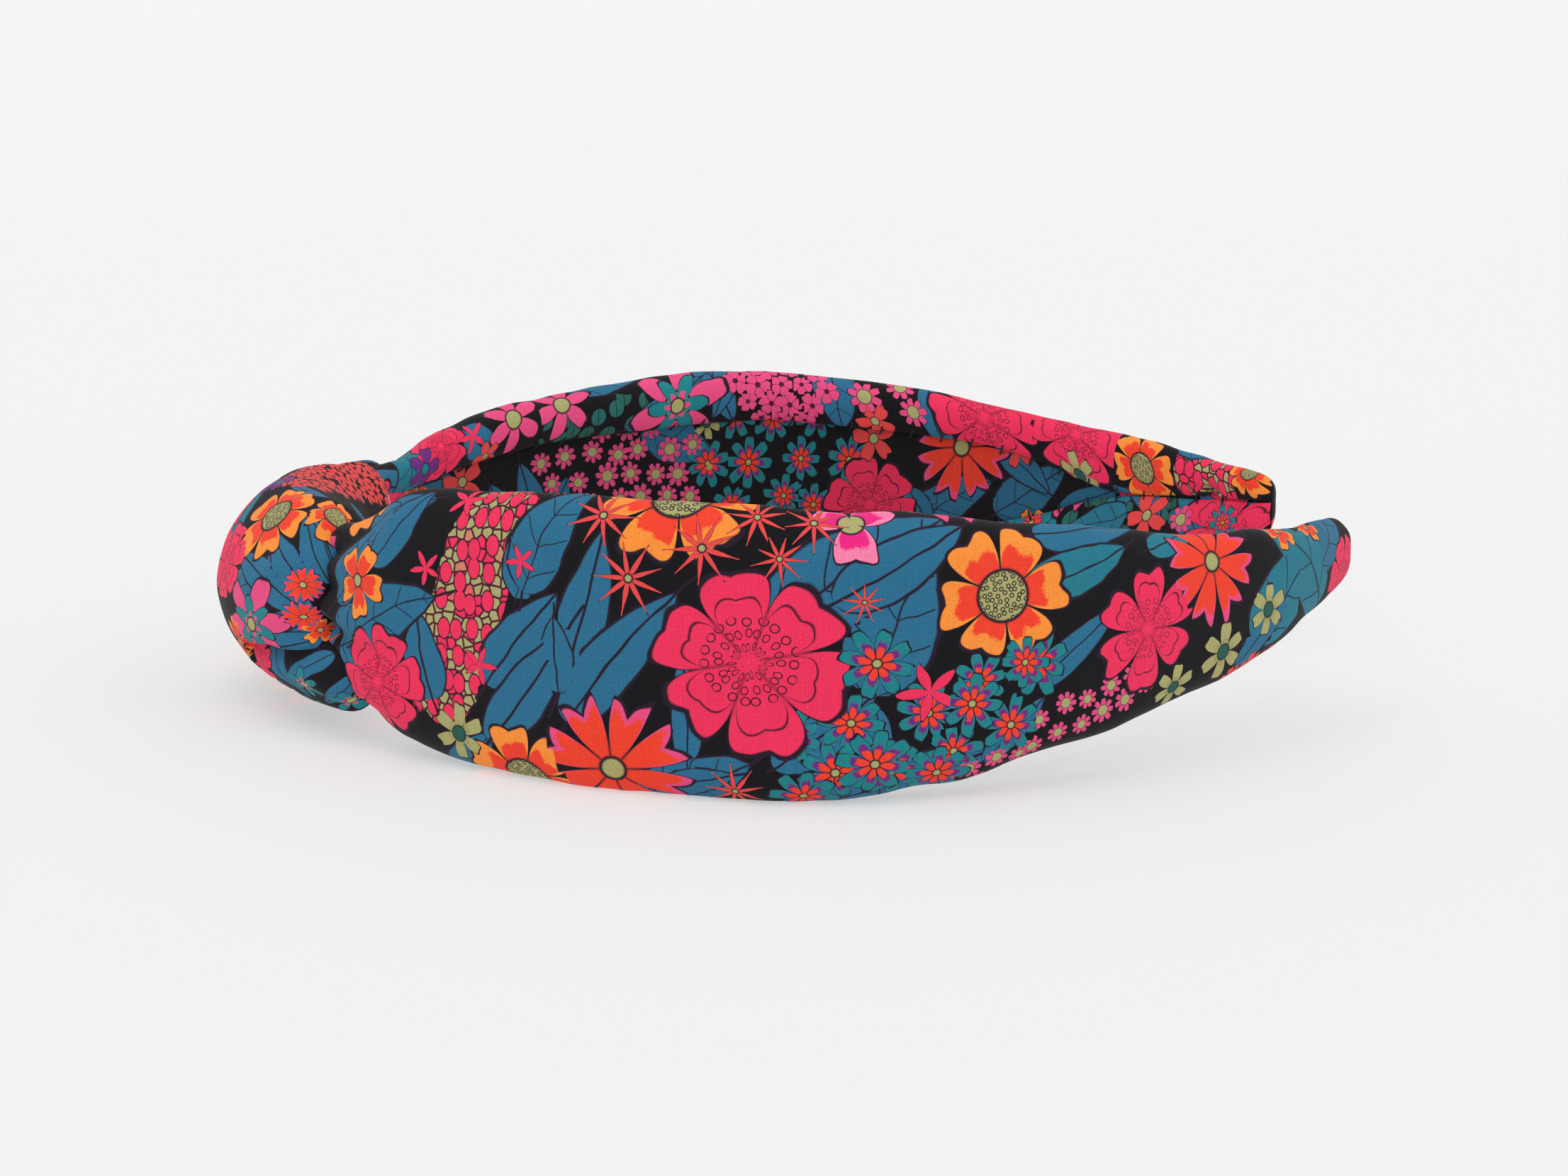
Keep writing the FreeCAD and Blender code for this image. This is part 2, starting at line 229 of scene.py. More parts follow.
def middle_line():
    """The band's middle line in plan, from the left tip round the crown to the right tip."""
    tip_angle = math.acos(-(((TIP_X - PLAN_CENTRE_X) / TIP_REACH) ** (PLAN_POWER / 2)))
    power, points = 2 / PLAN_POWER, []
    for angle in np.linspace(-tip_angle, tip_angle, PLAN_SAMPLES):
        c, s = math.cos(angle), math.sin(angle)
        reach = CROWN_REACH if c > 0 else TIP_REACH
        points.append((PLAN_CENTRE_X - math.copysign(reach * abs(c) ** power, c),
                       math.copysign(HALF_SPAN * abs(s) ** power, s)))
    return spline(points, LINE_SAMPLES)


LINE = middle_line()
LINE_S = lengths(LINE) - lengths(LINE)[-1] / 2
LINE_T = np.gradient(LINE, LINE_S, axis=0)
ARM_LENGTH = LINE_S[-1]


def raw_station(s):
    """Plan point and outward normal of the middle line at signed arc lengths."""
    p = np.stack([np.interp(s, LINE_S, LINE[:, k]) for k in (0, 1)], -1)
    t = unit(np.stack([np.interp(s, LINE_S, LINE_T[:, k]) for k in (0, 1)], -1))
    return p, np.stack([-t[..., 1], t[..., 0]], -1)


RIGHT_FLEX = next(j for j in frame["joints"] if j["name"] == "arm_right_flex")
SHIFT = np.array(RIGHT_FLEX["pos_m"][:2]) / MM - raw_station(np.array(PIVOT_S))[0]
FLOOR_Z = CAD_BOUNDS[0][2] / MM


def place(s, n, z):
    """Row-frame points, in millimetres, at n outwards from the middle line and z above the table."""
    s, n, z = np.broadcast_arrays(np.asarray(s, float), np.asarray(n, float), np.asarray(z, float))
    p, normal = raw_station(s)
    return np.concatenate([p + SHIFT + normal * n[..., None], z[..., None]], -1)


def mid_height(s):
    """Height of the band's middle line above the table at s."""
    return smooth(MID_HEIGHT, np.abs(s))


def width_and_bulk(s):
    """Half width of the band at s, and its thickness as a share of the full one."""
    return float(smooth(HALF_WIDTH, s)), float(smooth(BULK, s))


def gather_at(s):
    """How much the knot squeezes an arm's end at s."""
    return 1 - KNOT_GATHER * float(step(KNOT_FOLD_S + 1 - s, 0, KNOT_GATHER_RUN))


def lip_share(s):
    """How much of the half width each of a cover's lips takes: they meet where the tip closes."""
    return float(smooth(LIP_SHARES, s))


def edge_stretch(s, side):
    """How much taller than the frame's shape the upper and lower halves of a section are."""
    w = smooth(HALF_WIDTH, s)
    return float(1 + smooth(TOP_SHIFT[side], s) / w), float(1 - smooth(BOTTOM_SHIFT, s) / w)


def cover_section(s, side):
    """C section of an arm's cover at s: (n, z) points from the upper lip's end to the lower one's."""
    (w, k), share = width_and_bulk(s), lip_share(s)
    puff = 1 + KNOT_PUFF * bell(s, KNOT_PUFF_S, KNOT_PUFF_RUN)
    half = []
    for slack in (0.0, LOWER_SLACK * (CLOSED_SHARE - share)):
        lip = w * share * (1 + slack)
        roll = k * (1 + 0.35 * slack)
        half.append([(-0.9 * k, w - lip + 1.6 * k), (-1.7 * roll, w - lip + 0.1),
                     (-2.9 * roll, w - 0.86 * lip), (-3.8 * roll, w - 0.55 * lip),
                     (-3.1 * roll, w - 0.17 * lip), (0.2 * k, w + 0.1),
                     (3.1 * k, w - 1.6 * k), (4.7 * k * puff, 0.56 * w)])
    upper, lower = half
    up, down = edge_stretch(s, side)
    points = [(n, z * up) for n, z in upper] + [((OUTER_CROWN + 0.25) * k * puff, 0.0)]
    points += [(n, -z * down) for n, z in reversed(lower)]
    return spline(points, SECTION_SAMPLES)


def grid_faces(rows, columns, ring=False):
    """Quads of a rows by columns grid of points; ring joins the last column to the first."""
    faces = []
    for i in range(rows - 1):
        for j in range(columns if ring else columns - 1):
            a, b = i * columns + j, i * columns + (j + 1) % columns
            faces.append((a, a + columns, b + columns, b))
    return faces


def closing_faces(rows, columns, ring):
    """The hidden faces that close a grid: a cap at each end, and a strip from edge to edge."""
    faces = [tuple(range(columns)), tuple(range((rows - 1) * columns, rows * columns))[::-1]]
    if not ring:
        for i in range(rows - 1):
            a, b = (i + 1) * columns - 1, i * columns
            faces.append((a, a + columns, b + columns, b))
    return faces


def lumps(points, *rows):
    """Sum of smooth noises at each point, each of an amount, about as wide as a size, from a seed."""
    total = 0
    for amount, size, seed in rows:
        shift = Vector((seed * 7.3, seed * 3.1, seed * 1.7))
        values = [noise.noise(Vector(p) / size + shift) for p in points.reshape(-1, 3)]
        total = total + amount * np.array(values).reshape(points.shape[:-1])
    return total


class Cloth:
    """A grid of cloth: its points, and the s and v of each in the flat cloth. A closed tube has its girth as
    ring. flip says that the grid's own normals point inwards."""

    def __init__(self, name, points, flat, ring=0.0, flip=False):
        self.name, self.ring, self.flip = name, ring, flip
        self.points, self.flat = np.array(points), np.array(flat)
        self.s, self.v = self.flat[..., 0], self.flat[..., 1]

    def displace(self, amount):
        """Moves each point outwards by its amount, and keeps it on the table."""
        around = np.gradient(self.points, axis=1)
        if self.ring:
            around = np.roll(self.points, -1, 1) - np.roll(self.points, 1, 1)
        outwards = unit(np.cross(np.gradient(self.points, axis=0), around)) * (-1 if self.flip else 1)
        self.points += outwards * amount[..., None]
        self.points[..., 2] = np.maximum(self.points[..., 2], FLOOR_Z + TABLE_GAP)


def cover_cloth(side):
    """Cover of one arm, from inside the knot to the closed tip, as a grid along s and round the section."""
    sign, points, flat = SIDES[side], [], []
    round_off = ARM_LENGTH - TIP_ROUND * np.cos(np.linspace(0, math.pi / 2, TIP_ROWS))
    for s in np.concatenate([np.arange(COVER_START_S, ARM_LENGTH - TIP_ROUND, CELL), round_off]):
        section = cover_section(s, side)
        along = lengths(section)
        even = np.linspace(0, along[-1], COVER_COLUMNS)
        n, z = (np.interp(even, along, section[:, k]) for k in (0, 1))
        close = math.sqrt(max(0.0, 1 - max(0.0, (s - ARM_LENGTH + TIP_ROUND) / TIP_ROUND) ** 2))
        gather = gather_at(s)
        n = (TIP_MIDDLE_N + (n - TIP_MIDDLE_N) * (TIP_PINCH + (1 - TIP_PINCH) * close)) * gather
        z = z * (TIP_SQUASH + (1 - TIP_SQUASH) * close) * gather
        points.append(place(sign * s, n, z + mid_height(s)))
        flat.append(np.stack([np.full(COVER_COLUMNS, s), np.interp(0, -section[:, 1], along) - even], -1))
    cloth = Cloth(f"cover_{side}_cloth", points, flat, flip=side == "left")
    cloth.displace(cover_wrinkles(cloth))
    return cloth


def cover_wrinkles(cloth):
    """Outward displacement of a cover: gathers at the knot, soft lumps of wadding and puckered edges."""
    s, v, half = cloth.s, cloth.v, smooth(HALF_WIDTH, cloth.s)
    soft = lumps(cloth.points, *ARM_LUMPS)
    pucker = bell(np.abs(v), half, 5.0) * lumps(cloth.points, *EDGE_PUCKERS)
    fan = v / half * GATHERS + lumps(cloth.points, GATHER_BENDS)
    gathers = GATHER_DEPTH * np.sin(fan * math.pi) * bell(s, KNOT_FOLD_S + 2, 9.0)
    for pleat in ARM_PLEATS:
        gathers -= pleat_depth(cloth.flat, *pleat)
    calm = 1 - TIP_CALM * step(s, ARM_LENGTH - TIP_CALM_RUN, ARM_LENGTH)
    inner = step(np.abs(v) / np.abs(v).max(axis=1, keepdims=True), 0.62, 0.85)
    tuck = TIP_TUCK * inner * bell(s, ARM_LENGTH - TIP_TUCK_S - 0.5 * v, 1.5)
    return (soft + pucker) * calm + gathers - tuck


def lining_cloth(side):
    """The strip of print on the inside of an arm, with its edges under the cover's lips."""
    sign, points, flat = SIDES[side], [], []
    across = np.linspace(1, -1, LINING_COLUMNS)
    for s in np.arange(COVER_START_S + 1, ARM_LENGTH - TIP_ROUND, CELL):
        w, k = width_and_bulk(s)
        up, down = edge_stretch(s, side)
        half, gather = w * (1 - lip_share(s)) + LINING_TUCK * k, gather_at(s)
        n = -LINING_DEPTH * k - LINING_BOW * k * (1 - across ** 2)
        z = across * half * gather * np.where(across > 0, up, down)
        points.append(place(sign * s, n * gather, z + mid_height(s)))
        flat.append(np.stack([np.full(LINING_COLUMNS, s), across * half], -1))
    cloth = Cloth(f"lining_{side}_cloth", points, flat, flip=side == "right")
    cloth.displace(lumps(cloth.points, LINING_LUMPS) + lumps(cloth.points * (1, 1, 0.4), LINING_RUCKS))
    return cloth


def seam_stitches(side):
    """Slanting hand stitches that hold the cover's lips down on the lining, and close the tip."""
    sign, paths = SIDES[side], []
    for s in np.arange(STITCH_START_S, ARM_LENGTH - 3, STITCH_PITCH):
        (w, k), share = width_and_bulk(s), lip_share(s)
        for way, stretch in zip((1, -1), edge_stretch(s, side)):
            lip = w * share * (1 if way > 0 else 1 + LOWER_SLACK * (CLOSED_SHARE - share))
            edge = w - lip
            rows = [(s - 0.5, -1.2 * k, edge - 0.6), (s - 0.3, -1.9 * k, edge - 0.2),
                    (s, -2.4 * k, edge + 0.2), (s + 0.3, -2.75 * k, w - 0.88 * lip),
                    (s + 0.5, -2.3 * k, w - 0.82 * lip)]
            middle = mid_height(s)
            paths.append(np.array([place(sign * at, n, middle + way * stretch * z) for at, n, z in rows]))
    return paths


def tubes(paths, radius):
    """Points and faces of thin round threads along paths of points."""
    points, faces = [], []
    tube = grid_faces(THREAD_POINTS, THREAD_SIDES, True) + closing_faces(THREAD_POINTS, THREAD_SIDES, True)
    for path in paths:
        first, line = len(points), spline(path, THREAD_POINTS)
        along = unit(np.gradient(line, axis=0))
        side = unit(np.cross(along, (0.0, 0.0, 1.0)))
        for centre, across, up in zip(line, side, np.cross(side, along)):
            for corner in range(THREAD_SIDES):
                angle = 2 * math.pi * corner / THREAD_SIDES
                points.append(centre + radius * (math.cos(angle) * across + math.sin(angle) * up))
        faces += [tuple(first + corner for corner in face) for face in tube]
    return points, faces


# ---- The knot

def knot_section(s):
    """Reach outwards, reach inwards and half height of the knot's big turn at s."""
    return [smooth([(row[0], row[k]) for row in KNOT_SECTIONS], s) for k in (1, 2, 3)]


def turn_cloth():
    """The big turn of the knot: a closed tube along s whose two ends roll in over the arms."""
    roll = np.linspace(0, ROLL_ARC, ROLL_ROWS + 1)[1:]
    body = np.linspace(-KNOT_END_S, KNOT_END_S, round(2 * KNOT_END_S / KNOT_CELL) + 1)
    out_roll = [(KNOT_END_S + KNOT_ROLL * math.sin(a), KNOT_ROLL * (1 - math.cos(a))) for a in roll]
    rows = [(-s, dip) for s, dip in reversed(out_roll)] + [(s, 0.0) for s in body] + out_roll
    theta = np.linspace(-math.pi / 2, 1.5 * math.pi, KNOT_COLUMNS, endpoint=False)
    cos, sin = np.cos(theta), np.sin(theta)
    walked, points, flat = lengths(np.array(rows)), [], []
    for (s, dip), at in zip(rows, walked - walked[-1] / 2):
        out, inn, half = knot_section(s)
        n = np.sign(cos) * np.abs(cos) ** KNOT_ROUND * (np.where(cos > 0, out, inn) - dip)
        z = np.sign(sin) * np.abs(sin) ** KNOT_ROUND * (half - dip)
        shrink = 1 - KNOT_RECESS * recess(s, theta)
        points.append(place(s, n * shrink, KNOT_HEIGHT + z * shrink))
        flat.append(np.stack([np.full(KNOT_COLUMNS, at), theta * KNOT_GIRTH], -1))
    cloth = Cloth("knot_turn_cloth", points, flat, ring=2 * math.pi * KNOT_GIRTH, flip=True)
    cloth.displace(turn_folds(cloth))
    return cloth


def recess(s, theta):
    """1 where the big turn gives way to an under turn: below on the left half, above on the right half."""
    swing = np.abs(np.angle(np.exp(1j * (theta - math.copysign(RECESS_ANGLE, s)))))
    reach = RECESS_REACH * float(step(abs(s), 4.0, 16.0))
    return step(reach - swing, -0.06, 0.06) * float(step(abs(s), 4.0, 8.0))


def pleat_depth(flat, start, end, depth, width):
    """Depth of a pleat along a straight line in the flat cloth, fading across it and towards its end."""
    start, end = np.array(start, float), np.array(end, float)
    along = end - start
    t = np.clip(((flat - start) @ along) / (along @ along), 0, 1)
    off = np.linalg.norm(flat - start - t[..., None] * along, axis=-1)
    return depth * (bell(off, 0, width * (1 + t)) * (1 - t) ** 0.7)


def turn_folds(cloth):
    """Outward displacement of the big turn: soft lumps, long slanting folds and the pleats at each end."""
    x, girth = cloth.s, wrapped(cloth.v, cloth.ring)
    amount = lumps(cloth.points, *KNOT_LUMPS)
    slant = (girth + KNOT_SLANT * x) / cloth.ring * 2 * math.pi
    fold = np.sin(KNOT_FOLDS * slant + lumps(cloth.points, KNOT_BENDS))
    amount += KNOT_FOLD_DEPTH * fold * step(np.abs(x), 6, 20)
    for turn in (1, -1):
        for (s0, angle0), (s1, angle1), depth, width in KNOT_PLEATS:
            start, end = (-turn * s0, turn * angle0 * KNOT_GIRTH), (-turn * s1, turn * angle1 * KNOT_GIRTH)
            amount -= pleat_depth(np.stack([x, girth], -1), start, end, depth, width)
    return amount


def under_cloth(side):
    """An under turn of the knot: a lobe that leaves the arm's end and goes in under the big turn, below it on
    the left and above it on the right."""
    sign = SIDES[side]
    path = spline([row[:3] for row in UNDER_PATH], UNDER_ROWS)
    radii = spline([(row[0], row[3], row[4]) for row in UNDER_PATH], UNDER_ROWS)[:, 1:]
    theta = np.linspace(-math.pi / 2, 1.5 * math.pi, UNDER_COLUMNS, endpoint=False)
    points, flat = [], []
    for (s, n, rise), (wide, high), walked in zip(path, radii, lengths(path)):
        z = KNOT_HEIGHT + sign * (rise + high * np.sin(theta))
        points.append(place(sign * s, n + wide * np.cos(theta), z))
        flat.append(np.stack([np.full(UNDER_COLUMNS, walked), theta * UNDER_GIRTH], -1))
    cloth = Cloth(f"knot_under_{side}_cloth", points, flat, ring=2 * math.pi * UNDER_GIRTH)
    folds = UNDER_FOLD_DEPTH * np.sin(theta * UNDER_FOLDS + lumps(cloth.points, UNDER_BENDS))
    cloth.displace(lumps(cloth.points, UNDER_LUMPS) + folds)
    return cloth


# ---- The print: what is stamped where, in millimetres on the flat cloth

LAYERS = ("fields", "under_leaves", "leaves", "patches", "blooms", "buds")
STAMP_CLAIM = 1.36
DOTS_PER_MM = 0.66
STAMP_SPAN = 2.84

# A flower of radius 1 is a ring of petals round a disc of radius centre. notch dents each petal's end, drop
# and power shape the gap between two petals, and peak says how far from its middle a petal is longest. inner
# and tip are the shares of a petal where its inner colour ends and its tip colour starts. rings, stamens,
# contour and seams are the strengths of the inked lines. The colours are outer, inner, tip, disc.
FLOWER_NUMBERS = "petals notch peak drop power inner tip centre rings stamens contour seams".split()
FLOWER_ROWS = """
    peony 6 0.08 0.5 0.46 3.4 0 2 0 0 1 1 0.5 hot_pink hot_pink hot_pink olive
    marigold 6 0.11 0.52 0.62 2.8 0.7 2 0.34 1 0 0 1 orange vermilion orange olive
    fringed 8 0.22 0.62 0.74 1.25 0 0.86 0.15 0 0 0 0.8 vermilion vermilion rose olive
    star 9 0 0.04 0.88 0.46 0 2 0.1 0 0 0 0 coral coral coral olive
    olive 6 0.04 0.34 0.78 1.4 0 2 0.26 0 0.7 0 0.6 olive olive olive moss
    windmill 6 0.07 0.4 0.62 2.2 0 2 0 0 0.8 1 0.5 hot_pink hot_pink hot_pink olive
    dancer 5 0 0.06 0.94 0.9 0 2 0 0 0 0 0 hot_pink hot_pink hot_pink olive
    lily 6 0 0.12 0.78 1.4 0.42 2 0.2 0 0 0 0.8 sea rose sea olive
    cosmos 6 0 0.2 0.76 1.5 0 2 0.24 0 0 0 0.8 rose rose rose olive
    orchid 3 0.12 0.4 0.86 1.1 0 0.66 0.26 0 0 0 0 magenta magenta blush olive
    poppy 5 0.08 0.4 0.74 1.7 0.72 2 0.16 0 0 0 1 orange vermilion orange olive
    coral 5 0.05 0.3 0.74 1.5 0 2 0.2 0 0 0 1 coral coral coral olive
    violet 5 0.05 0.3 0.7 1.5 0 2 0.22 0 0 0 1 purple purple purple sea
    frill 7 0.1 0.4 0.6 1.3 0 2 0.2 0 0 0 1 coral coral coral maroon
    floret 5 0.06 0.45 0.4 2.2 0 2 0.17 0 0 0 1 rose rose rose maroon
    tiny 8 0 0.3 0.56 1.7 0 2 0.4 0 0 0 1 rose rose rose olive
    posy 8 0 0.28 0.62 1.6 0.5 0.66 0.12 0 0 0 1 purple vermilion sea olive"""


def flower_table(rows):
    """The look of each kind of flower, from the rows above."""
    looks = {}
    for kind, *words in map(str.split, rows.strip().splitlines()):
        numbers = map(float, words[:len(FLOWER_NUMBERS)])
        looks[kind] = dict(zip(FLOWER_NUMBERS, numbers), colours=words[len(FLOWER_NUMBERS):])
    return looks


FLOWERS = flower_table(FLOWER_ROWS)
FIELDS = ("cluster", "foliage")
# A patch is an area that many small flowers of one kind fill: the kind, their spacing and their radius.
PATCHES = {"posies": ("posy", 8.0, 4.5), "sprigs": ("tiny", 5.0, 2.5), "specks": ("tiny", 3.7, 1.8),
           "florets": ("floret", 4.0, 2.5), "corals": ("frill", 4.2, 2.8)}
LEAVES = ("blade", "broad")
# The number by which each kind's stamp is known in its layer, and half width as a share of half length where
# scattered stamps are not round.
KIND_NUMBERS = {kind: number for kinds in (FLOWERS, LEAVES, FIELDS) for number, kind in enumerate(kinds)}
SCATTERED_SHARES = {"blade": 0.34, "broad": 0.5, **dict.fromkeys((*FIELDS, *PATCHES), 0.6)}
# Rows of a patch lie closer than its flowers do, and each flower is off its place by up to a share of that.
ROW_PITCH, UNEVEN = 0.87, 0.16
COLOURS = {"black": (16, 14, 18), "ink": (38, 24, 40), "blue": (43, 109, 143), "sea": (28, 130, 136),
           "hot_pink": (240, 50, 92), "rose": (232, 78, 132), "vermilion": (242, 66, 44),
           "orange": (250, 146, 58), "coral": (232, 74, 72), "olive": (172, 168, 110),
           "magenta": (236, 36, 130), "blush": (248, 130, 170), "purple": (108, 44, 124),
           "maroon": (84, 20, 50), "moss": (40, 92, 80)}

# What is printed where the photograph shows the cloth. Blooms and buds: kind, s, v, radius, turn. Leaves:
# kind, base s, base v, tip s, tip v, half width. Fields, patches: kind, s, v, half length, half width, turn.
NEAR_ARM = """
    blooms: peony 97 0 13.9 12, marigold 87 22.5 11.8 0, marigold 128 8 10 20, fringed 79 -16 11.4 10,
        marigold 65.5 -19.5 9.5 40, peony 42.5 -7.5 8.6 30, windmill 150 1 9.4 10, fringed 162.5 8 9.4 30,
        orchid 109 18.5 6.4 90, poppy 39 6.5 5.8 50, peony 200 -3 6.5 0, poppy 180 9 3.6 0,
        poppy 190 7.5 3 40;
    buds: star 81.5 10 5.6 0, star 91 14.5 5.2 20, star 77.5 18 5.2 10, star 97.5 19 4.6 0,
        star 104.5 18.5 4.6 30, star 100.5 13.5 3.8 10, star 110.5 8 3 0, star 95 -18 4.4 20,
        dancer 118.5 -4 4.6 75, olive 173.5 -1 4.2 10, olive 164.5 -5 4.4 40, olive 156 -8.5 3.6 0,
        olive 56 -13.5 4.4 20, posy 112 0 5 0, posy 112 -13.5 5 20, posy 103.5 -18.5 4.6 40,
        posy 124 -6 4.6 10, posy 131 -1 3.8 30, posy 120 -15.5 4.8 50, dancer 66.5 11 2.6 10,
        dancer 60 -3.5 3 60, dancer 56 19 3.2 100, dancer 51 9 2.8 20;
    under_leaves: broad 66 6 72 21 3.4, blade 61 -6 72 7 3.6, blade 72 -6 78 16 3.6,
        broad 99 4 121 18.5 6.2, broad 111 -4 118 15 5.4, broad 191 -5 176 12 5.4, broad 33 -4 47 1 5,
        blade 133 15.5 152 16.5 3, blade 39 12 51 19 3, broad 53 -24 61 -13 4, broad 82 -20 97 -13.5 4.2,
        blade 52 -9 50 3 3.2, blade 105 -20 128 -12 4, broad 170 -4 189 8 5.6, broad 189 1 204 9 3.8,
        blade 100 -14 112 -4 3, blade 168 -8 182 3 2.4;
    leaves: broad 67 7 74.5 22.5 4, blade 72 -6 71.5 4 2.6, blade 61 -14 73.5 2.5 3.6,
        blade 73 -10 88 8.5 3.8, blade 107 8 123 17.5 3.6, blade 131.5 9 147 12.5 3.2,
        blade 133 -4 145 4.5 2.2, blade 41.5 9 50 20 2.8, broad 37 -2 52.5 5.5 4.2,
        blade 38 14 45 17.5 2.4, blade 89 -14 88.5 0 2.1, blade 84 -20 95 -15.5 2.4, broad 33 3 41 15 3.6,
        blade 151 11.5 162 14.5 2.2, blade 112 -6 113 -19 1.6, blade 126 -14 134 -6 1.8;
    fields: cluster 58 5 18 5.8 72;
    patches: posies 117 -10 19 10 14, specks 141 -8.5 13 4.6 18, specks 127 -17 8 4 10,
        corals 171 -10 7 3.4 10"""

FAR_ARM = """
    blooms: cosmos 60.3 23 6.8 10, cosmos 71 23.5 6.8 40, cosmos 93.6 28.5 10.5 0, peony 151 21 11 20,
        peony 168 16.5 10 50, marigold 181.8 16 7 0, marigold 203 7 4.8 30, peony 44 20 6.5 0,
        coral 183 -15 4.6 0, coral 131 29 4 0;
    buds: lily 93.6 28.5 6.6 30, tiny 129 25 3.4 0, tiny 135 21 3 20, tiny 138 25 2.8 50,
        tiny 133 17 2.6 50, dancer 51 22 3.2 0, violet 39 21 4 0, olive 169 23.5 4.2 10, coral 54 27 3 0,
        posy 160 -22 4 0, posy 199 -12 3.2 0, tiny 190 -13 2.6 0;
    under_leaves: broad 74 20 91 18 3.8, blade 99 20 105 33 3, broad 121 18 125 33 4.2,
        blade 50 20 56 28 3, broad 186 8 195 5 3.4;
    leaves: blade 84 31 99 24 2.4, blade 105 20 101 32 2.4, blade 144 30 139 16 2.6,
        blade 197 0 205 4 2.4, blade 189 -15 193 -7 1.8;
    fields: foliage 77 29 11 4.5 0, foliage 174 -18 30 8 6, cluster 194.5 11 6.5 6.5 0;
    patches: florets 113 26 9.5 7.5 0"""

FAR_LINING = """
    blooms: peony 130 -3 9.5 15, fringed 146.5 7 9.5 20, peony 180 2 5 0, coral 50 7 5 0;
    buds: olive 100 11 3 10, olive 169 6 4 10, poppy 160 -6 3.4 0, coral 130.5 8 4.2 0,
        coral 157 7 3.4 30;
    under_leaves: broad 137 -8 152 2 4, broad 153 -4 166 4 4, broad 88 12 101 6 4.2;
    leaves: blade 65 -6 56 5 3, blade 67 -5 63 8 3, blade 66 -6 73 4 2.8, blade 137 0 141 -9 2.4,
        blade 153 8 163 0 2.4, blade 158 -9 168 -3 2.2, blade 165 -3 177 1 2.2;
    patches: sprigs 83 1 18 11 0, posies 112 3 15 12 0"""

TURN = """
    blooms: marigold -15.2 14.6 8.6 30, marigold -26.5 20 6.5 70, cosmos -19 -2.5 8.6 0, peony -8 5 6.5 0,
        poppy -11.5 -7 4.6 30, peony 2 10 7 0, violet -2 19 4.4 30, fringed 20 15 8 0, poppy 27 22 5 0;
    buds: fringed -27.5 6 3.2 0, fringed -28 0.5 3.2 40, lily -19 -2.5 5.4 30, poppy -30 -2.5 2.8 0;
    under_leaves: broad -13 2 -27 10 3.6, broad -30 1 -20 -9 3.6, blade -31 12 -22 20 3,
        broad 8 16 18 20 4;
    leaves: blade -29 2 -12 7.5 2.6, blade -30 5 -17 12 2.4, blade -31 8 -22 17 2.2,
        blade -30 -4 -14 -8 2.2, blade -20 24 -8 21 2.4, blade -2 16 -8 1 2.4;
    patches: corals 10 27.5 21 7 16"""

UNDER_LEFT = """
    blooms: peony 24 2 6.5 0, peony 31 9 6 0;
    buds: lily 11 3 4.2 0, lily 4 7 4.4 30, lily 13 11 4 10;
    leaves: blade 0 -3 9 8 2, blade 6 -6 16 5 2, blade 20 -6 12 8 2.2, blade 19 12 28 4 2.2"""


def stamp_rows(table):
    """The rows of a table of stamps, by layer."""
    found = {}
    for part in filter(None, table.split(";")):
        layer, rows = part.split(":")
        found[layer.strip()] = [(kind, *map(float, numbers))
                                for kind, *numbers in map(str.split, rows.split(","))]
    return found


# Each cloth's seed, what was chosen for it, and the stretches of s and v that hold nothing else.
PRINTS = {"cover_left_cloth": (11, NEAR_ARM, [(36, 206, -20, 20)]),
          "cover_right_cloth": (12, FAR_ARM, [(42, 206, 15, 40)]),
          "lining_left_cloth": (13, "", []),
          "lining_right_cloth": (14, FAR_LINING, [(50, 190, -14, 14)]),
          "knot_turn_cloth": (15, TURN, [(-32, -2, -8, 34), (-2, 32, 22, 34)]),
          "knot_under_left_cloth": (16, UNDER_LEFT, [(0, 34, -9, 14)]),
          "knot_under_right_cloth": (17, "", [])}


def stamp(kind, s, v, half_length, half_width, turn):
    """A stamp, with its kind as a number. Patches keep their names until they are filled."""
    return KIND_NUMBERS.get(kind, kind), s, v, half_length, half_width, turn


def table_stamp(layer, kind, *numbers):
    """A stamp from a row of its layer's table."""
    if "leaves" in layer:
        base_s, base_v, tip_s, tip_v, half_width = numbers
        long, high = tip_s - base_s, tip_v - base_v
        return stamp(kind, (base_s + tip_s) / 2, (base_v + tip_v) / 2, math.hypot(long, high) / 2, half_width,
                     math.degrees(math.atan2(high, long)))
    if layer in ("fields", "patches"):
        return stamp(kind, *numbers)
    s, v, radius, turn = numbers
    return stamp(kind, s, v, radius, radius, turn)


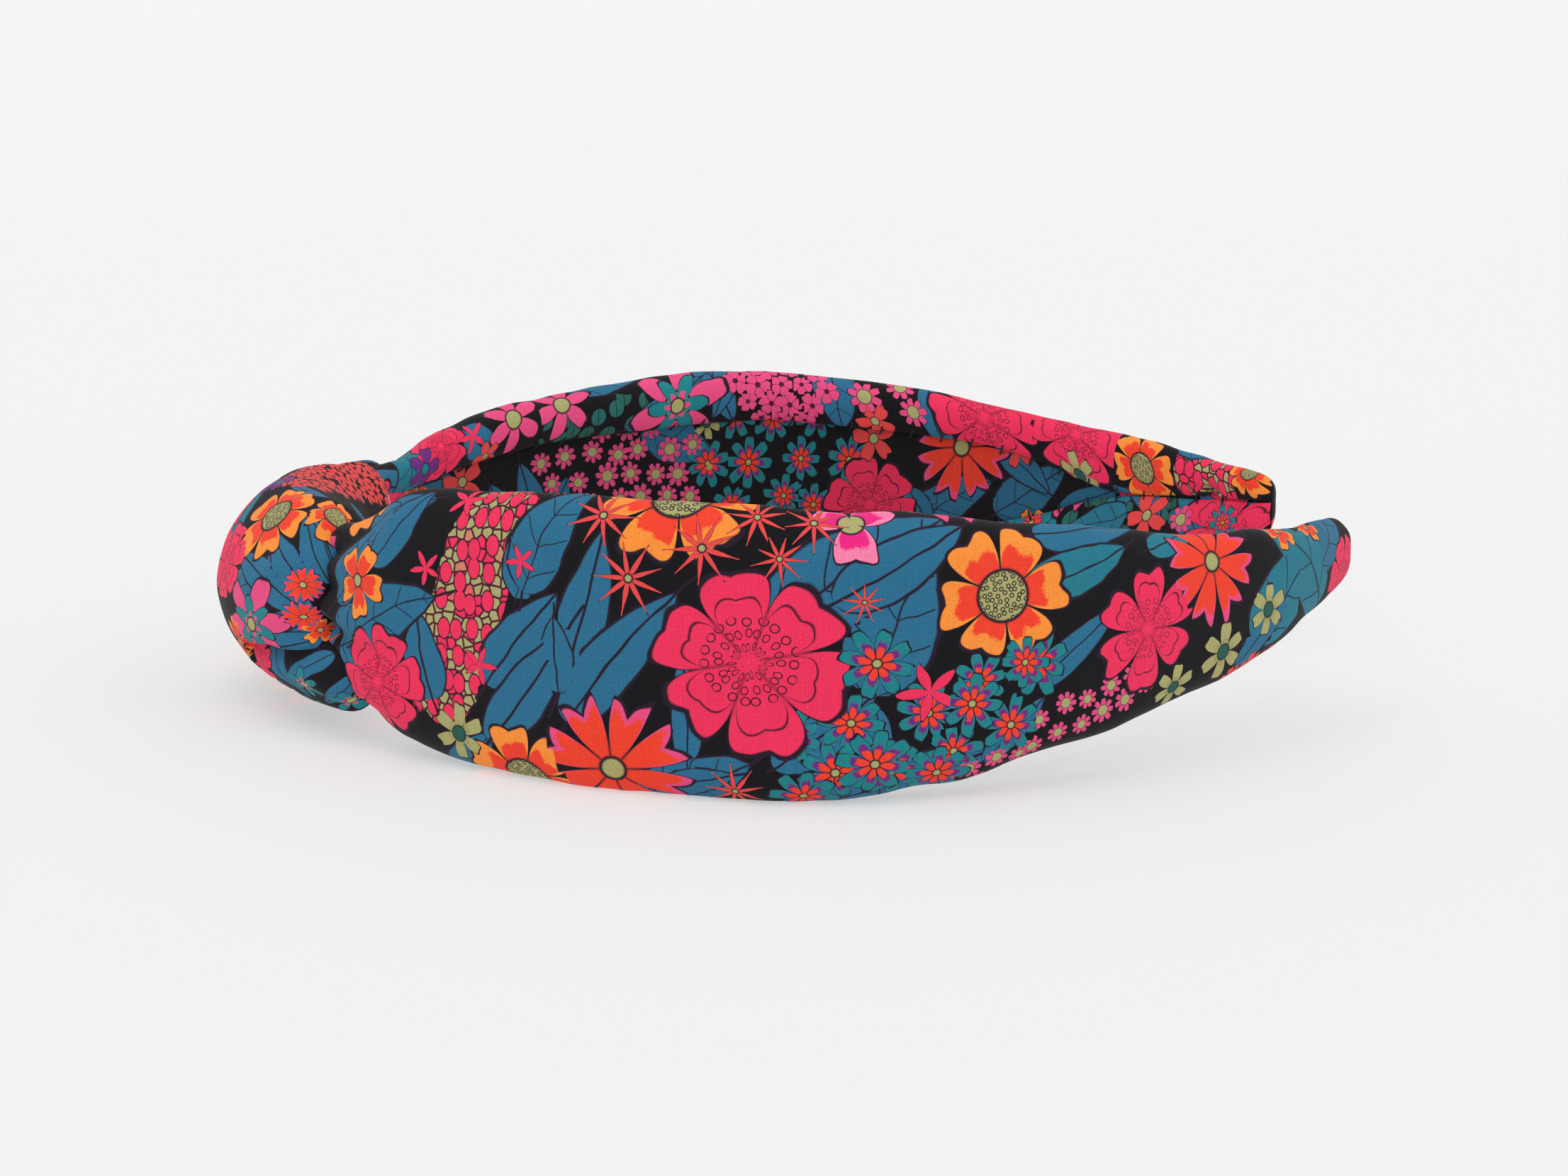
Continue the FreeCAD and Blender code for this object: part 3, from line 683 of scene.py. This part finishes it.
class Printer:
    """Places stamps on one cloth: first the chosen ones, then others wherever they fit."""

    def __init__(self, cloth):
        seed, table, self.keep = PRINTS[cloth.name]
        self.draw, self.ring, self.tapers = random.Random(seed), cloth.ring, cloth.name.startswith("cover")
        self.span = (cloth.s.min(), cloth.s.max(), cloth.v.min(), cloth.v.max())
        rows = stamp_rows(table)
        self.stamps = {layer: [table_stamp(layer, *row) for row in rows.get(layer, [])] for layer in LAYERS}

    def room(self, layers, s, v, radius, gap):
        """Whether no stamp of the layers is nearer than gap allows to one of that radius."""
        return all(math.hypot(s - at_s, wrapped(v - at_v, self.ring)) >= (radius + max(size)) * gap
                   for layer in layers for _, at_s, at_v, *size, _ in self.stamps[layer])

    def kept(self, s, v, reach):
        """Whether a stamp touches an area that holds only chosen ones, which narrows with an arm's cover."""
        share = float(smooth(HALF_WIDTH, s)) / WIDEST if self.tapers else 1.0
        return any(low_s - reach < s < high_s + reach and low_v * share - reach < v < high_v * share + reach
                   for low_s, high_s, low_v, high_v in self.keep)

    def scatter(self, layer, kinds, radius, tries, gap, avoid=()):
        """Tries random places for stamps of the given kinds."""
        low_s, high_s, low_v, high_v = self.span
        for _ in range(tries):
            kind, size = self.draw.choice(kinds), self.draw.uniform(*radius)
            s, v = self.draw.uniform(low_s, high_s), self.draw.uniform(low_v, high_v)
            turn, share = self.draw.uniform(0, 360), SCATTERED_SHARES.get(kind, 1.0)
            if not self.kept(s, v, size * 0.8) and self.room((layer, *avoid), s, v, size, gap):
                self.stamps[layer].append(stamp(kind, s, v, size, size * share, turn))

    def fill(self, kind, s, v, half_length, half_width, turn):
        """The small flowers that fill a patch, in uneven rows."""
        kind, pitch, radius = PATCHES[kind]
        cos, sin, found = math.cos(math.radians(turn)), math.sin(math.radians(turn)), []
        for row, y in enumerate(np.arange(-half_width, half_width, pitch * ROW_PITCH), 1):
            for x in np.arange(-half_length + row % 2 * pitch / 2, half_length, pitch):
                dx, dy = (self.draw.uniform(-UNEVEN, UNEVEN) * pitch for _ in "xy")
                size, spin = radius * self.draw.uniform(0.85, 1.1), self.draw.uniform(0, 360)
                if abs(x / half_length) ** 3 + abs(y / half_width) ** 3 < 1:
                    found.append(stamp(kind, s + (x + dx) * cos - (y + dy) * sin,
                                       v + (x + dx) * sin + (y + dy) * cos, size, size, spin))
        return found


def prints_for(cloth):
    """All stamps of one cloth."""
    printer = Printer(cloth)
    printer.scatter("blooms", ("peony", "marigold", "fringed", "windmill"), (8.5, 13), 160, 0.9)
    printer.scatter("fields", ("cluster", "foliage"), (8, 13), 60, 0.8, ("blooms", "patches"))
    printer.scatter("patches", ("posies", "sprigs", "specks"), (10, 16), 60, 0.8, ("blooms", "fields"))
    printer.scatter("blooms", ("poppy", "lily", "orchid", "windmill"), (4.5, 7), 160, 0.95)
    printer.scatter("under_leaves", ("broad", "blade"), (8, 12), 300, 0.62)
    printer.scatter("leaves", ("blade", "blade", "broad"), (6, 10), 500, 0.62)
    printer.scatter("buds", ("star", "olive", "dancer", "poppy", "coral"), (2.6, 5), 300, 0.95,
                    ("blooms", "patches"))
    areas = printer.stamps["patches"]
    printer.stamps["patches"] = [small for area in areas for small in printer.fill(*area)]
    return printer.stamps


# ---- Shader arithmetic

class Term:
    """A number or colour in a shader's nodes. Arithmetic on it adds Math nodes."""

    def __init__(self, socket):
        self.socket = socket

    def math(self, operation, *others, clamp=False):
        node = self.socket.id_data.nodes.new("ShaderNodeMath")
        node.operation, node.use_clamp = operation, clamp
        for slot, value in zip(node.inputs, (self, *others)):
            wire(value, slot)
        return Term(node.outputs[0])

    __add__ = __radd__ = partialmethod(math, "ADD")
    __sub__ = partialmethod(math, "SUBTRACT")
    __rsub__ = partialmethod(math, "MULTIPLY_ADD", -1.0)
    __mul__ = __rmul__ = partialmethod(math, "MULTIPLY")
    __truediv__ = partialmethod(math, "DIVIDE")
    __pow__ = partialmethod(math, "POWER")
    __abs__ = partialmethod(math, "ABSOLUTE")
    floor = partialmethod(math, "FLOOR")
    fraction = partialmethod(math, "FRACT")
    sine = partialmethod(math, "SINE")
    most = partialmethod(math, "MAXIMUM")


def wire(value, slot):
    """Links a term to a socket, or sets a plain value on it."""
    if isinstance(value, Term):
        slot.id_data.links.new(value.socket, slot)
    elif isinstance(value, bpy.types.NodeSocket):
        slot.id_data.links.new(value, slot)
    else:
        slot.default_value = value


def above(x, edge=0.0, soft=0.04):
    """0 below the edge and 1 above it, over a short ramp."""
    return ((x - edge) / soft).math("ADD", 0.5, clamp=True)


def band(x, middle, half, soft=0.03):
    """1 within half of the middle value, 0 elsewhere."""
    return above(half - abs(x - middle), 0.0, soft)


def linear(name):
    """Linear RGBA of a named sRGB colour."""
    values = [c / 255 for c in COLOURS[name]]
    return tuple(c / 12.92 if c <= 0.04045 else ((c + 0.055) / 1.055) ** 2.4 for c in values) + (1.0,)


class Paper:
    """Nodes of one material tree, with short ways to make the ones that the print needs."""

    def __init__(self, tree):
        self.tree, self.nodes = tree, tree.nodes

    def new(self, kind, settings=None, **inputs):
        node = self.nodes.new("ShaderNode" + kind)
        for name, value in (settings or {}).items():
            setattr(node, name, value)
        for name, value in inputs.items():
            wire(value, node.inputs[name])
        return node

    def uv(self, name):
        """The two coordinates of a UV map."""
        node = self.new("UVMap", {"uv_map": name})
        parts = self.new("SeparateXYZ", Vector=node.outputs[0])
        return Term(parts.outputs[0]), Term(parts.outputs[1])

    def vector(self, x, y, z=0.0):
        return self.new("CombineXYZ", X=x, Y=y, Z=z).outputs[0]

    def noise(self, place, scale, detail=2.0):
        """Smooth noise about 0.5."""
        node = self.new("TexNoise", Vector=place, Scale=scale, Detail=detail)
        return Term(node.outputs[0])

    def cells(self, x, y, size, randomness):
        """Distance and x from the middle of the nearest cell, and a number of the cell's own."""
        node = self.new("TexVoronoi", {"voronoi_dimensions": "2D"}, Vector=self.vector(x, y),
                        Scale=1 / size, Randomness=randomness)
        parts = self.new("SeparateXYZ", Vector=node.outputs["Position"])
        own = self.new("SeparateXYZ", Vector=node.outputs["Color"])
        return Term(node.outputs["Distance"]), x - Term(parts.outputs[0]), Term(own.outputs[0])

    def mix(self, below, over, cover):
        """Colour over another, by its cover."""
        node = self.new("Mix", {"data_type": "RGBA"})
        for slot, value in zip((node.inputs[0], node.inputs[6], node.inputs[7]), (cover, below, over)):
            wire(value, slot)
        return Term(node.outputs[2])

    def pick(self, kind, colours):
        """The colour whose place in the list is kind."""
        node = self.new("ValToRGB", Fac=(kind + 0.5) / len(colours))
        ramp = node.color_ramp
        ramp.interpolation = "CONSTANT"
        while len(ramp.elements) < len(colours):
            ramp.elements.new(0.5)
        for place, colour in enumerate(colours):
            ramp.elements[place].position = place / len(colours)
            ramp.elements[place].color = colour
        return Term(node.outputs[0])

    def pick_numbers(self, kind, names, rows):
        """Each named number of the row whose place is kind, three to a ramp."""
        picked = {}
        for first in range(0, len(names), 3):
            trio = (names + names[:2])[first:first + 3]
            tops = [max(row[name] for row in rows) for name in trio]
            colours = [tuple(row[name] / top for name, top in zip(trio, tops)) + (1.0,) for row in rows]
            parts = self.new("SeparateXYZ", Vector=self.pick(kind, colours))
            for name, top, socket in zip(trio, tops, parts.outputs):
                picked[name] = Term(socket) * top
        return picked

    def stamp(self, u, v):
        """What a print layer's UV map holds: cover, kind, seed, and the place x, y within the stamp."""
        kind, seed = u.floor(), v.floor()
        return (u.math("GREATER_THAN", 0.0), kind, seed, (u - kind - 0.5) * STAMP_SPAN,
                (v - seed - 0.5) * STAMP_SPAN)


# Where a flower's inked lines lie and how wide they are, as shares of its radius.
CONTOUR_AT, CONTOUR_HALF, RIM_HALF = 0.74, 0.012, 0.022
SEAM, OUTLINE = 0.016, 0.020
STAMENS_FROM, STAMENS_TO, STAMENS_ROUND, STAMEN_RINGS = 0.08, 0.44, 19.0, 8.0
DISC_CELL = 0.085


def flower(paper, x, y, seed, look):
    """Colour and cover of a flower of radius 1. look holds a row of FLOWERS, as terms."""
    outer, inner, tip, middle = look["colours"]
    place = paper.vector(x, y, seed)
    rough = paper.noise(place, 2.2, 1.0)
    ragged = paper.noise(place, 7.0, 3.0) * 0.75 + paper.noise(place, 36.0, 1.0) * 0.25
    radius = (x * x + y * y) ** 0.5
    phase = y.math("ARCTAN2", x) / (2 * math.pi) * look["petals"] + seed * 0.37
    petal = (phase.floor() + 64.0).math("MODULO", look["petals"])
    own = Term(paper.new("TexWhiteNoise", {"noise_dimensions": "2D"},
                         Vector=paper.vector(petal, seed)).outputs[0])
    side = abs(phase.fraction() - 0.5) * 2.0
    dent = ((look["peak"] - side).most(0.0) / look["peak"]) ** 1.5 * look["notch"]
    gap = ((side - look["peak"]).most(0.0) / (1.0 - look["peak"])) ** look["power"] * look["drop"]
    reach = (1.0 - dent - gap) * (0.96 - own * 0.10) * (rough * 0.34 + 0.83)
    depth = reach - radius
    share = radius / reach + (ragged - 0.5) * 0.34
    colour = paper.mix(outer, inner, above(look["inner"] - share, 0.0, 0.05))
    colour = paper.mix(colour, tip, above(share, look["tip"], 0.08))
    inside = radius / reach + (rough - 0.5) * 0.48 + side * side * 0.16
    ink = band(inside, CONTOUR_AT, CONTOUR_HALF, 0.02) * above(0.90 - side) * look["contour"]
    thin = (1.0 - side) * radius * math.pi / look["petals"]
    ink = ink.most(above(SEAM - thin, 0.0, 0.02) * look["seams"] * above(radius, 0.12))
    ink = ink.most(stamens(paper, x, y, radius, seed) * look["stamens"])
    disc = above(look["centre"] * (0.9 + 0.2 * rough) - radius, 0.0, 0.02)
    rim = band(radius, look["centre"], RIM_HALF) * above(radius, 0.05)
    colour = paper.mix(colour, middle, disc)
    ink = ink * (1.0 - disc) + disc * discs(paper, x, y) * look["rings"]
    ink = ink.most(rim).most(above(OUTLINE - depth, 0.0, 0.02))
    return paper.mix(colour, linear("ink"), ink), above(depth, -0.035, 0.02).most(disc)


def stamens(paper, x, y, radius, seed):
    """Ink of the loops round a flower's middle, pointing outwards."""
    turn = y.math("ARCTAN2", x) / (2 * math.pi)
    distance = paper.cells(turn * STAMENS_ROUND + seed, radius * STAMEN_RINGS, 1.0, 0.4)[0]
    return band(distance, 0.31, 0.05, 0.06) * above(STAMENS_TO - radius) * above(radius, STAMENS_FROM)


def discs(paper, x, y):
    """Ink of the small rings on a flower's olive middle."""
    distance = paper.cells(x, y, DISC_CELL, 0.5)[0]
    return band(distance, 0.30, 0.09, 0.08)


def stamped_flower(paper, there, kind, seed, x, y):
    """Colour and cover of a layer of flower stamps."""
    rows = list(FLOWERS.values())
    look = paper.pick_numbers(kind, FLOWER_NUMBERS, rows)
    look["colours"] = [paper.pick(kind, [linear(row["colours"][k]) for row in rows]) for k in range(4)]
    colour, cover = flower(paper, x, y, seed, look)
    return colour, cover * there


def stamped_leaf(paper, there, kind, seed, x, y):
    """Colour and cover of the leaves: a pointed blade with a midrib, and side veins on broad ones."""
    blade = kind.math("LESS_THAN", 0.5)
    own = (seed * 0.377).fraction()
    rough = paper.noise(paper.vector(x, y, seed), 1.6, 1.0)
    across = y + (own - 0.5) * 0.5 * (1.0 - x * x) + (rough - 0.5) * 0.3
    shape = (1.0 - x).most(0.0) ** 0.80 * (1.0 + x).most(0.0) ** 0.45
    depth = shape * 0.95 - abs(across)
    midrib = 0.028 + blade * 0.02
    ink = above(midrib - abs(across), 0.0, 0.04)
    veins = (x * 1.9 - abs(across) * 0.75 + own).fraction()
    ink = ink.most(band(veins, 0.5, 0.022, 0.03) * (1.0 - blade) * above(depth, 0.1))
    ink = ink.most(above(0.04 - depth, 0.0, 0.05))
    tone = paper.mix(linear("blue"), linear("sea"), above(own, 0.8) * 0.5)
    return paper.mix(tone, linear("ink"), ink), above(depth, -0.06, 0.05) * there


def stamp_group(name, draw):
    """A node group that turns what a print layer's UV map holds into the layer's colour and cover."""
    tree = bpy.data.node_groups.new(name, "ShaderNodeTree")
    for socket, way, kind in (("Stamp", "INPUT", "Vector"), ("Colour", "OUTPUT", "Color"),
                              ("Cover", "OUTPUT", "Float")):
        tree.interface.new_socket(socket, in_out=way, socket_type=f"NodeSocket{kind}")
    paper = Paper(tree)
    begin, end = paper.nodes.new("NodeGroupInput"), paper.nodes.new("NodeGroupOutput")
    parts = paper.new("SeparateXYZ", Vector=begin.outputs[0])
    drawn = draw(paper, *paper.stamp(Term(parts.outputs[0]), Term(parts.outputs[1])))
    for value, slot in zip(drawn, end.inputs):
        wire(value, slot)
    return tree


def field_cluster(paper, s, v):
    """Hot pink ovals among olive dots, each with its outline, on maroon."""
    ovals = paper.cells(s * 1.3, v * 0.88, 3.3, 0.55)[0]
    place = paper.vector(s, v)
    edge = paper.new("TexVoronoi", {"voronoi_dimensions": "2D", "feature": "DISTANCE_TO_EDGE"},
                     Vector=place, Scale=DOTS_PER_MM, Randomness=0.8)
    own = paper.cells(s, v, 1 / DOTS_PER_MM, 0.8)[2]
    dots = paper.mix(linear("hot_pink"), linear("olive"), above(0.74 - own))
    colour = paper.mix(linear("maroon"), dots, above(Term(edge.outputs["Distance"]), 0.10, 0.05))
    colour = paper.mix(colour, linear("ink"), above(0.42 - ovals, 0.0, 0.03))
    return paper.mix(colour, linear("hot_pink"), above(0.36 - ovals, 0.0, 0.03))


def field_foliage(paper, s, v):
    """Small dark green leaves on black."""
    distance, x, own = paper.cells(s, v, 3.6, 0.7)
    colour = paper.mix(linear("moss"), linear("sea"), own * 0.3)
    colour = paper.mix(linear("black"), colour, above(0.40 - distance))
    return paper.mix(colour, linear("black"), above(0.10 - abs(x), 0.0, 0.1) * 0.7)


def stamped_field(paper, s, v):
    """Colour and cover of the areas that a small pattern fills."""
    there, kind, seed, x, y = paper.stamp(*paper.uv("fields"))
    edge = paper.noise(paper.vector(s, v, seed), 0.35, 2.0)
    shape = 1.0 - (x * x * x * x + y * y * y * y) ** 0.25 + (edge - 0.5) * 0.35
    colour = paper.mix(field_cluster(paper, s, v), field_foliage(paper, s, v), kind.math("GREATER_THAN", 0.5))
    return colour, above(shape, 0.0, 0.03) * there


def weave(paper, s, v):
    """Height of a plain weave, and a factor of about 1 on the colour. It holds how much paler or darker each
    thread and slub is, with painted shade in the furrows between threads and painted light on their tops.
    """
    warp, weft = (s * (math.pi / THREAD)).sine(), (v * (math.pi / THREAD)).sine()
    over = above(warp * weft, 0.0, 0.3)
    height = abs(warp) * over + abs(weft) * (1.0 - over)
    warp_tone = paper.noise(paper.vector((s / THREAD).floor(), v * 0.12), 1.0, 1.0)
    weft_tone = paper.noise(paper.vector(s * 0.12, (v / THREAD).floor(), 7.0), 1.0, 1.0)
    fleck = paper.noise(paper.vector(s, v), 1 / THREAD, 2.0)
    tone = 1.0 + (warp_tone - 0.5) * over * 0.35 + (weft_tone - 0.5) * (1.0 - over) * 0.35
    # The height term paints shade into the furrows and light onto the raised threads.
    return height, tone + (height - 0.64) * 0.28 + (fleck - 0.5) * 0.45


def new_material(name, settings):
    """A material, its Paper and its Principled node, with plain values set on that."""
    material = bpy.data.materials.new(name)
    material.use_nodes = True
    paper = Paper(material.node_tree)
    surface = paper.nodes["Principled BSDF"]
    for slot, value in settings.items():
        surface.inputs[slot].default_value = value
    return material, paper, surface


def print_material(name):
    """Printed plain-woven cotton: a layer of fields and five of stamps over near-black cloth."""
    material, paper, surface = new_material(name, COTTON_SURFACE)
    s, v = paper.uv("cloth")
    colour = paper.mix(linear("black"), *stamped_field(paper, s, v))
    flowers, leaves = stamp_group("flower_stamps", stamped_flower), stamp_group("leaf_stamps", stamped_leaf)
    for layer, tree in zip(LAYERS[1:], (leaves, leaves, flowers, flowers, flowers)):
        place = paper.new("UVMap", {"uv_map": layer}).outputs[0]
        drawn = paper.new("Group", {"node_tree": tree}, Stamp=place)
        colour = paper.mix(colour, Term(drawn.outputs[0]), Term(drawn.outputs[1]))
    # Painted shade: the print mixed towards black. It is zero on the cotton, and the lining's copy turns it
    # up.
    shaded_print = paper.mix(colour, (0.0, 0.0, 0.0, 1.0), 0.0)
    shaded_print.socket.node.name = "painted_shade_mix"
    height, tone = weave(paper, s, v)
    shade = paper.new("HueSaturation", Color=shaded_print, Value=tone)
    wire(Term(shade.outputs[0]), surface.inputs["Base Color"])
    wire(height * -0.08 + 0.86, surface.inputs["Roughness"])
    bump = paper.new("Bump", Height=height, Strength=0.30, Distance=0.06 * MM)
    wire(bump.outputs[0], surface.inputs["Normal"])
    return material


def plain_material(name, colour, roughness, grain, depth):
    """A dark plain finish with a fine grain: moulded plastic or spun thread."""
    material, paper, surface = new_material(name, {})
    rough = paper.noise(paper.new("TexCoord").outputs["Object"], grain, 4.0)
    tone = paper.mix(linear(colour), linear("ink"), above(rough, 0.55, 0.3) * 0.6)
    wire(tone, surface.inputs["Base Color"])
    wire(rough * 0.2 + (roughness - 0.1), surface.inputs["Roughness"])
    bump = paper.new("Bump", Height=rough, Strength=0.4, Distance=depth * MM)
    wire(bump.outputs[0], surface.inputs["Normal"])
    return material


# ---- Meshes

def mesh_object(name, points_mm, faces):
    """A smooth-shaded mesh object from points in millimetres."""
    mesh = bpy.data.meshes.new(name)
    mesh.from_pydata((np.asarray(points_mm) * MM).reshape(-1, 3).tolist(), [], faces)
    mesh.update()
    mesh.polygons.foreach_set("use_smooth", [True] * len(mesh.polygons))
    thing = bpy.data.objects.new(name, mesh)
    bpy.context.scene.collection.objects.link(thing)
    return thing


def flat_corners(cloth):
    """Place in the flat cloth of each face's four corners."""
    flat = cloth.flat
    if cloth.ring:
        flat = np.concatenate([flat, flat[:, :1] + (0.0, cloth.ring)], 1)
    return np.stack([flat[:-1, :-1], flat[1:, :-1], flat[1:, 1:], flat[:-1, 1:]], 2).reshape(-1, 4, 2)


def stamp_corners(corners, stamps, ring):
    """UV corners of a print layer. A face under a stamp holds the stamp's kind and number as whole numbers,
    and its own place within the stamp as the fractions; a face under none holds -1."""
    held = np.full(corners.shape, -1.0)
    nearest = np.full(len(corners), STAMP_CLAIM)
    middles = corners.mean(1)
    for number, (kind, s, v, half_length, half_width, turn) in enumerate(stamps):
        offset = middles - (s, v)
        offset[:, 1] = wrapped(offset[:, 1], ring)
        cos, sin = math.cos(math.radians(turn)), math.sin(math.radians(turn))
        spin, size = np.array([(cos, -sin), (sin, cos)]), (half_length, half_width)
        distance = np.linalg.norm(offset @ spin / size, axis=1)
        mine = distance < nearest
        nearest[mine] = distance[mine]
        local = (offset[mine, None] + corners[mine] - middles[mine, None]) @ spin / size
        held[mine] = np.clip(local / STAMP_SPAN, -0.48, 0.48) + 0.5 + (kind, number)
    return held


def cloth_object(cloth, prints, closed=True):
    """The mesh of a cloth, with its flat coordinates and its print layers as UV maps."""
    rows, columns = cloth.points.shape[:2]
    corners = flat_corners(cloth)
    hidden = closing_faces(rows, columns, bool(cloth.ring)) if closed else []
    ends = cloth.flat.reshape(-1, 2)[[corner for face in hidden for corner in face] or slice(0)]
    layers = {"cloth": np.concatenate([corners.reshape(-1, 2), ends])}
    for layer in LAYERS:
        held = stamp_corners(corners, prints[layer], cloth.ring)
        layers[layer] = np.concatenate([held.reshape(-1, 2), np.full(ends.shape, -1.0)])
    thing = mesh_object(cloth.name, cloth.points, grid_faces(rows, columns, bool(cloth.ring)) + hidden)
    for name, values in layers.items():
        thing.data.uv_layers.new(name=name).data.foreach_set("uv", values.ravel())
    if cloth.flip:
        thing.data.flip_normals()
    return thing


# ---- The stage

def stand(name, data, direction):
    """An object in the scene that looks in a direction."""
    thing = bpy.data.objects.new(name, data)
    bpy.context.scene.collection.objects.link(thing)
    thing.rotation_euler = Vector(direction).to_track_quat("-Z", "Y").to_euler()
    return thing


def camera():
    """Camera at the photograph's place, looking a little down on the band."""
    data = bpy.data.cameras.new("camera")
    elevation, yaw = math.radians(CAMERA_ELEVATION), math.radians(CAMERA_YAW)
    away = Vector((math.sin(yaw) * math.cos(elevation), -math.cos(yaw) * math.cos(elevation),
                   math.sin(elevation)))
    eye = stand("camera", data, -away)
    eye.location = (Vector(CAMERA_TARGET) + away * CAMERA_DISTANCE) * MM
    roll = Matrix.Rotation(math.radians(CAMERA_ROLL), 3, "Z")
    eye.rotation_euler = (eye.rotation_euler.to_matrix() @ roll).to_euler()
    data.sensor_width = SENSOR
    data.lens = SENSOR * CAMERA_FOCAL
    data.clip_start, data.clip_end = 0.02, 20.0
    bpy.context.scene.camera = eye


def floor():
    """A wide pale floor whose rim turns up into a backdrop all round."""
    points = [(0.0, 0.0, FLOOR_Z)]
    for radius_m, rise_m in FLOOR_RINGS_M:
        for angle in np.arange(FLOOR_SIDES) * (2 * math.pi / FLOOR_SIDES):
            x_m, y_m = radius_m * math.cos(angle), radius_m * math.sin(angle)
            points.append((x_m / MM, y_m / MM, FLOOR_Z + rise_m / MM))
    faces = [(0, 1 + k, 1 + (k + 1) % FLOOR_SIDES) for k in range(FLOOR_SIDES)]
    for low in range(1, len(points) - FLOOR_SIDES, FLOOR_SIDES):
        for k in range(FLOOR_SIDES):
            a, b = low + k, low + (k + 1) % FLOOR_SIDES
            faces.append((a, a + FLOOR_SIDES, b + FLOOR_SIDES, b))
    ground = mesh_object("floor", points, faces)
    ground.data.materials.append(new_material("pale_floor", FLOOR_SURFACE)[0])


def lights():
    """Even white surroundings, with soft light from above, in front and the right."""
    world = bpy.data.worlds.new("studio")
    world.use_nodes = True
    around = world.node_tree.nodes["Background"]
    around.inputs["Color"].default_value = WHITE
    around.inputs["Strength"].default_value = WORLD_STRENGTH
    bpy.context.scene.world = world
    for name, strength, spread, direction in SUNS:
        data = bpy.data.lights.new(name, "SUN")
        data.energy, data.angle = strength, math.radians(spread)
        stand(name, data, direction)
    bpy.context.scene.view_settings.view_transform = "Standard"


# ---- Assembly

def dress(side, cotton, lining, thread):
    """One arm's cover, lining and hand stitches."""
    sign, arm = SIDES[side], f"arm_{side}"
    start, end = (place(sign * s, 0, mid_height(s)) * MM for s in BLEND_S)
    cover, strip = cover_cloth(side), lining_cloth(side)
    outer = cloth_object(cover, prints_for(cover))
    inner = cloth_object(strip, prints_for(strip), closed=False)
    threads = mesh_object(f"seam_threads_{side}", *tubes(seam_stitches(side), STITCH_RADIUS))
    for piece, slot, look in ((outer, "printed_cotton", cotton), (inner, "lining_cotton", lining),
                              (threads, "thread", thread)):
        piece.data.materials.append(look)
        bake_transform(piece)
    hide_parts(*(f"{node}_{side}" for node in ("cover", "tip_fold", "knot_tuck", "interfacing",
                                                       "edge_fill", "pad")))
    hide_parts(f"seam_stitches_{side}", f"tip_stitches_{side}")
    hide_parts(f"lining_{side}")


def knot(cotton):
    """The knot's big turn and its two under turns, all on the crown."""
    for cloth, nodes in ((turn_cloth(), ("knot_wrap", "crown_sleeve", "knot_stitches")),
                         (under_cloth("left"), ()), (under_cloth("right"), ())):
        piece = cloth_object(cloth, prints_for(cloth))
        piece.data.materials.append(cotton)
        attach(piece, "crown")
        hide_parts(*nodes)


camera()
floor()
lights()
COTTON = print_material("printed_cotton_look")
# The lining's material is a copy of the cotton with painted shade that darkens its print.
LINING = COTTON.copy()
LINING.name = "lining_cotton_painted_shade_look"
LINING.node_tree.nodes["painted_shade_mix"].inputs[0].default_value = LINING_PAINTED_SHADE
SEWING = plain_material("sewing_thread", "black", 0.75, 9000.0, 0.03)
PLASTIC = plain_material("moulded_strip", "black", 0.45, 2500.0, 0.02)
for side_name in SIDES:
    dress(side_name, COTTON, LINING, SEWING)
knot(COTTON)
for node_name in ("core_crown", "core_left", "core_right"):
    frame["nodes"][node_name].data.materials.clear()
    frame["nodes"][node_name].data.materials.append(PLASTIC)
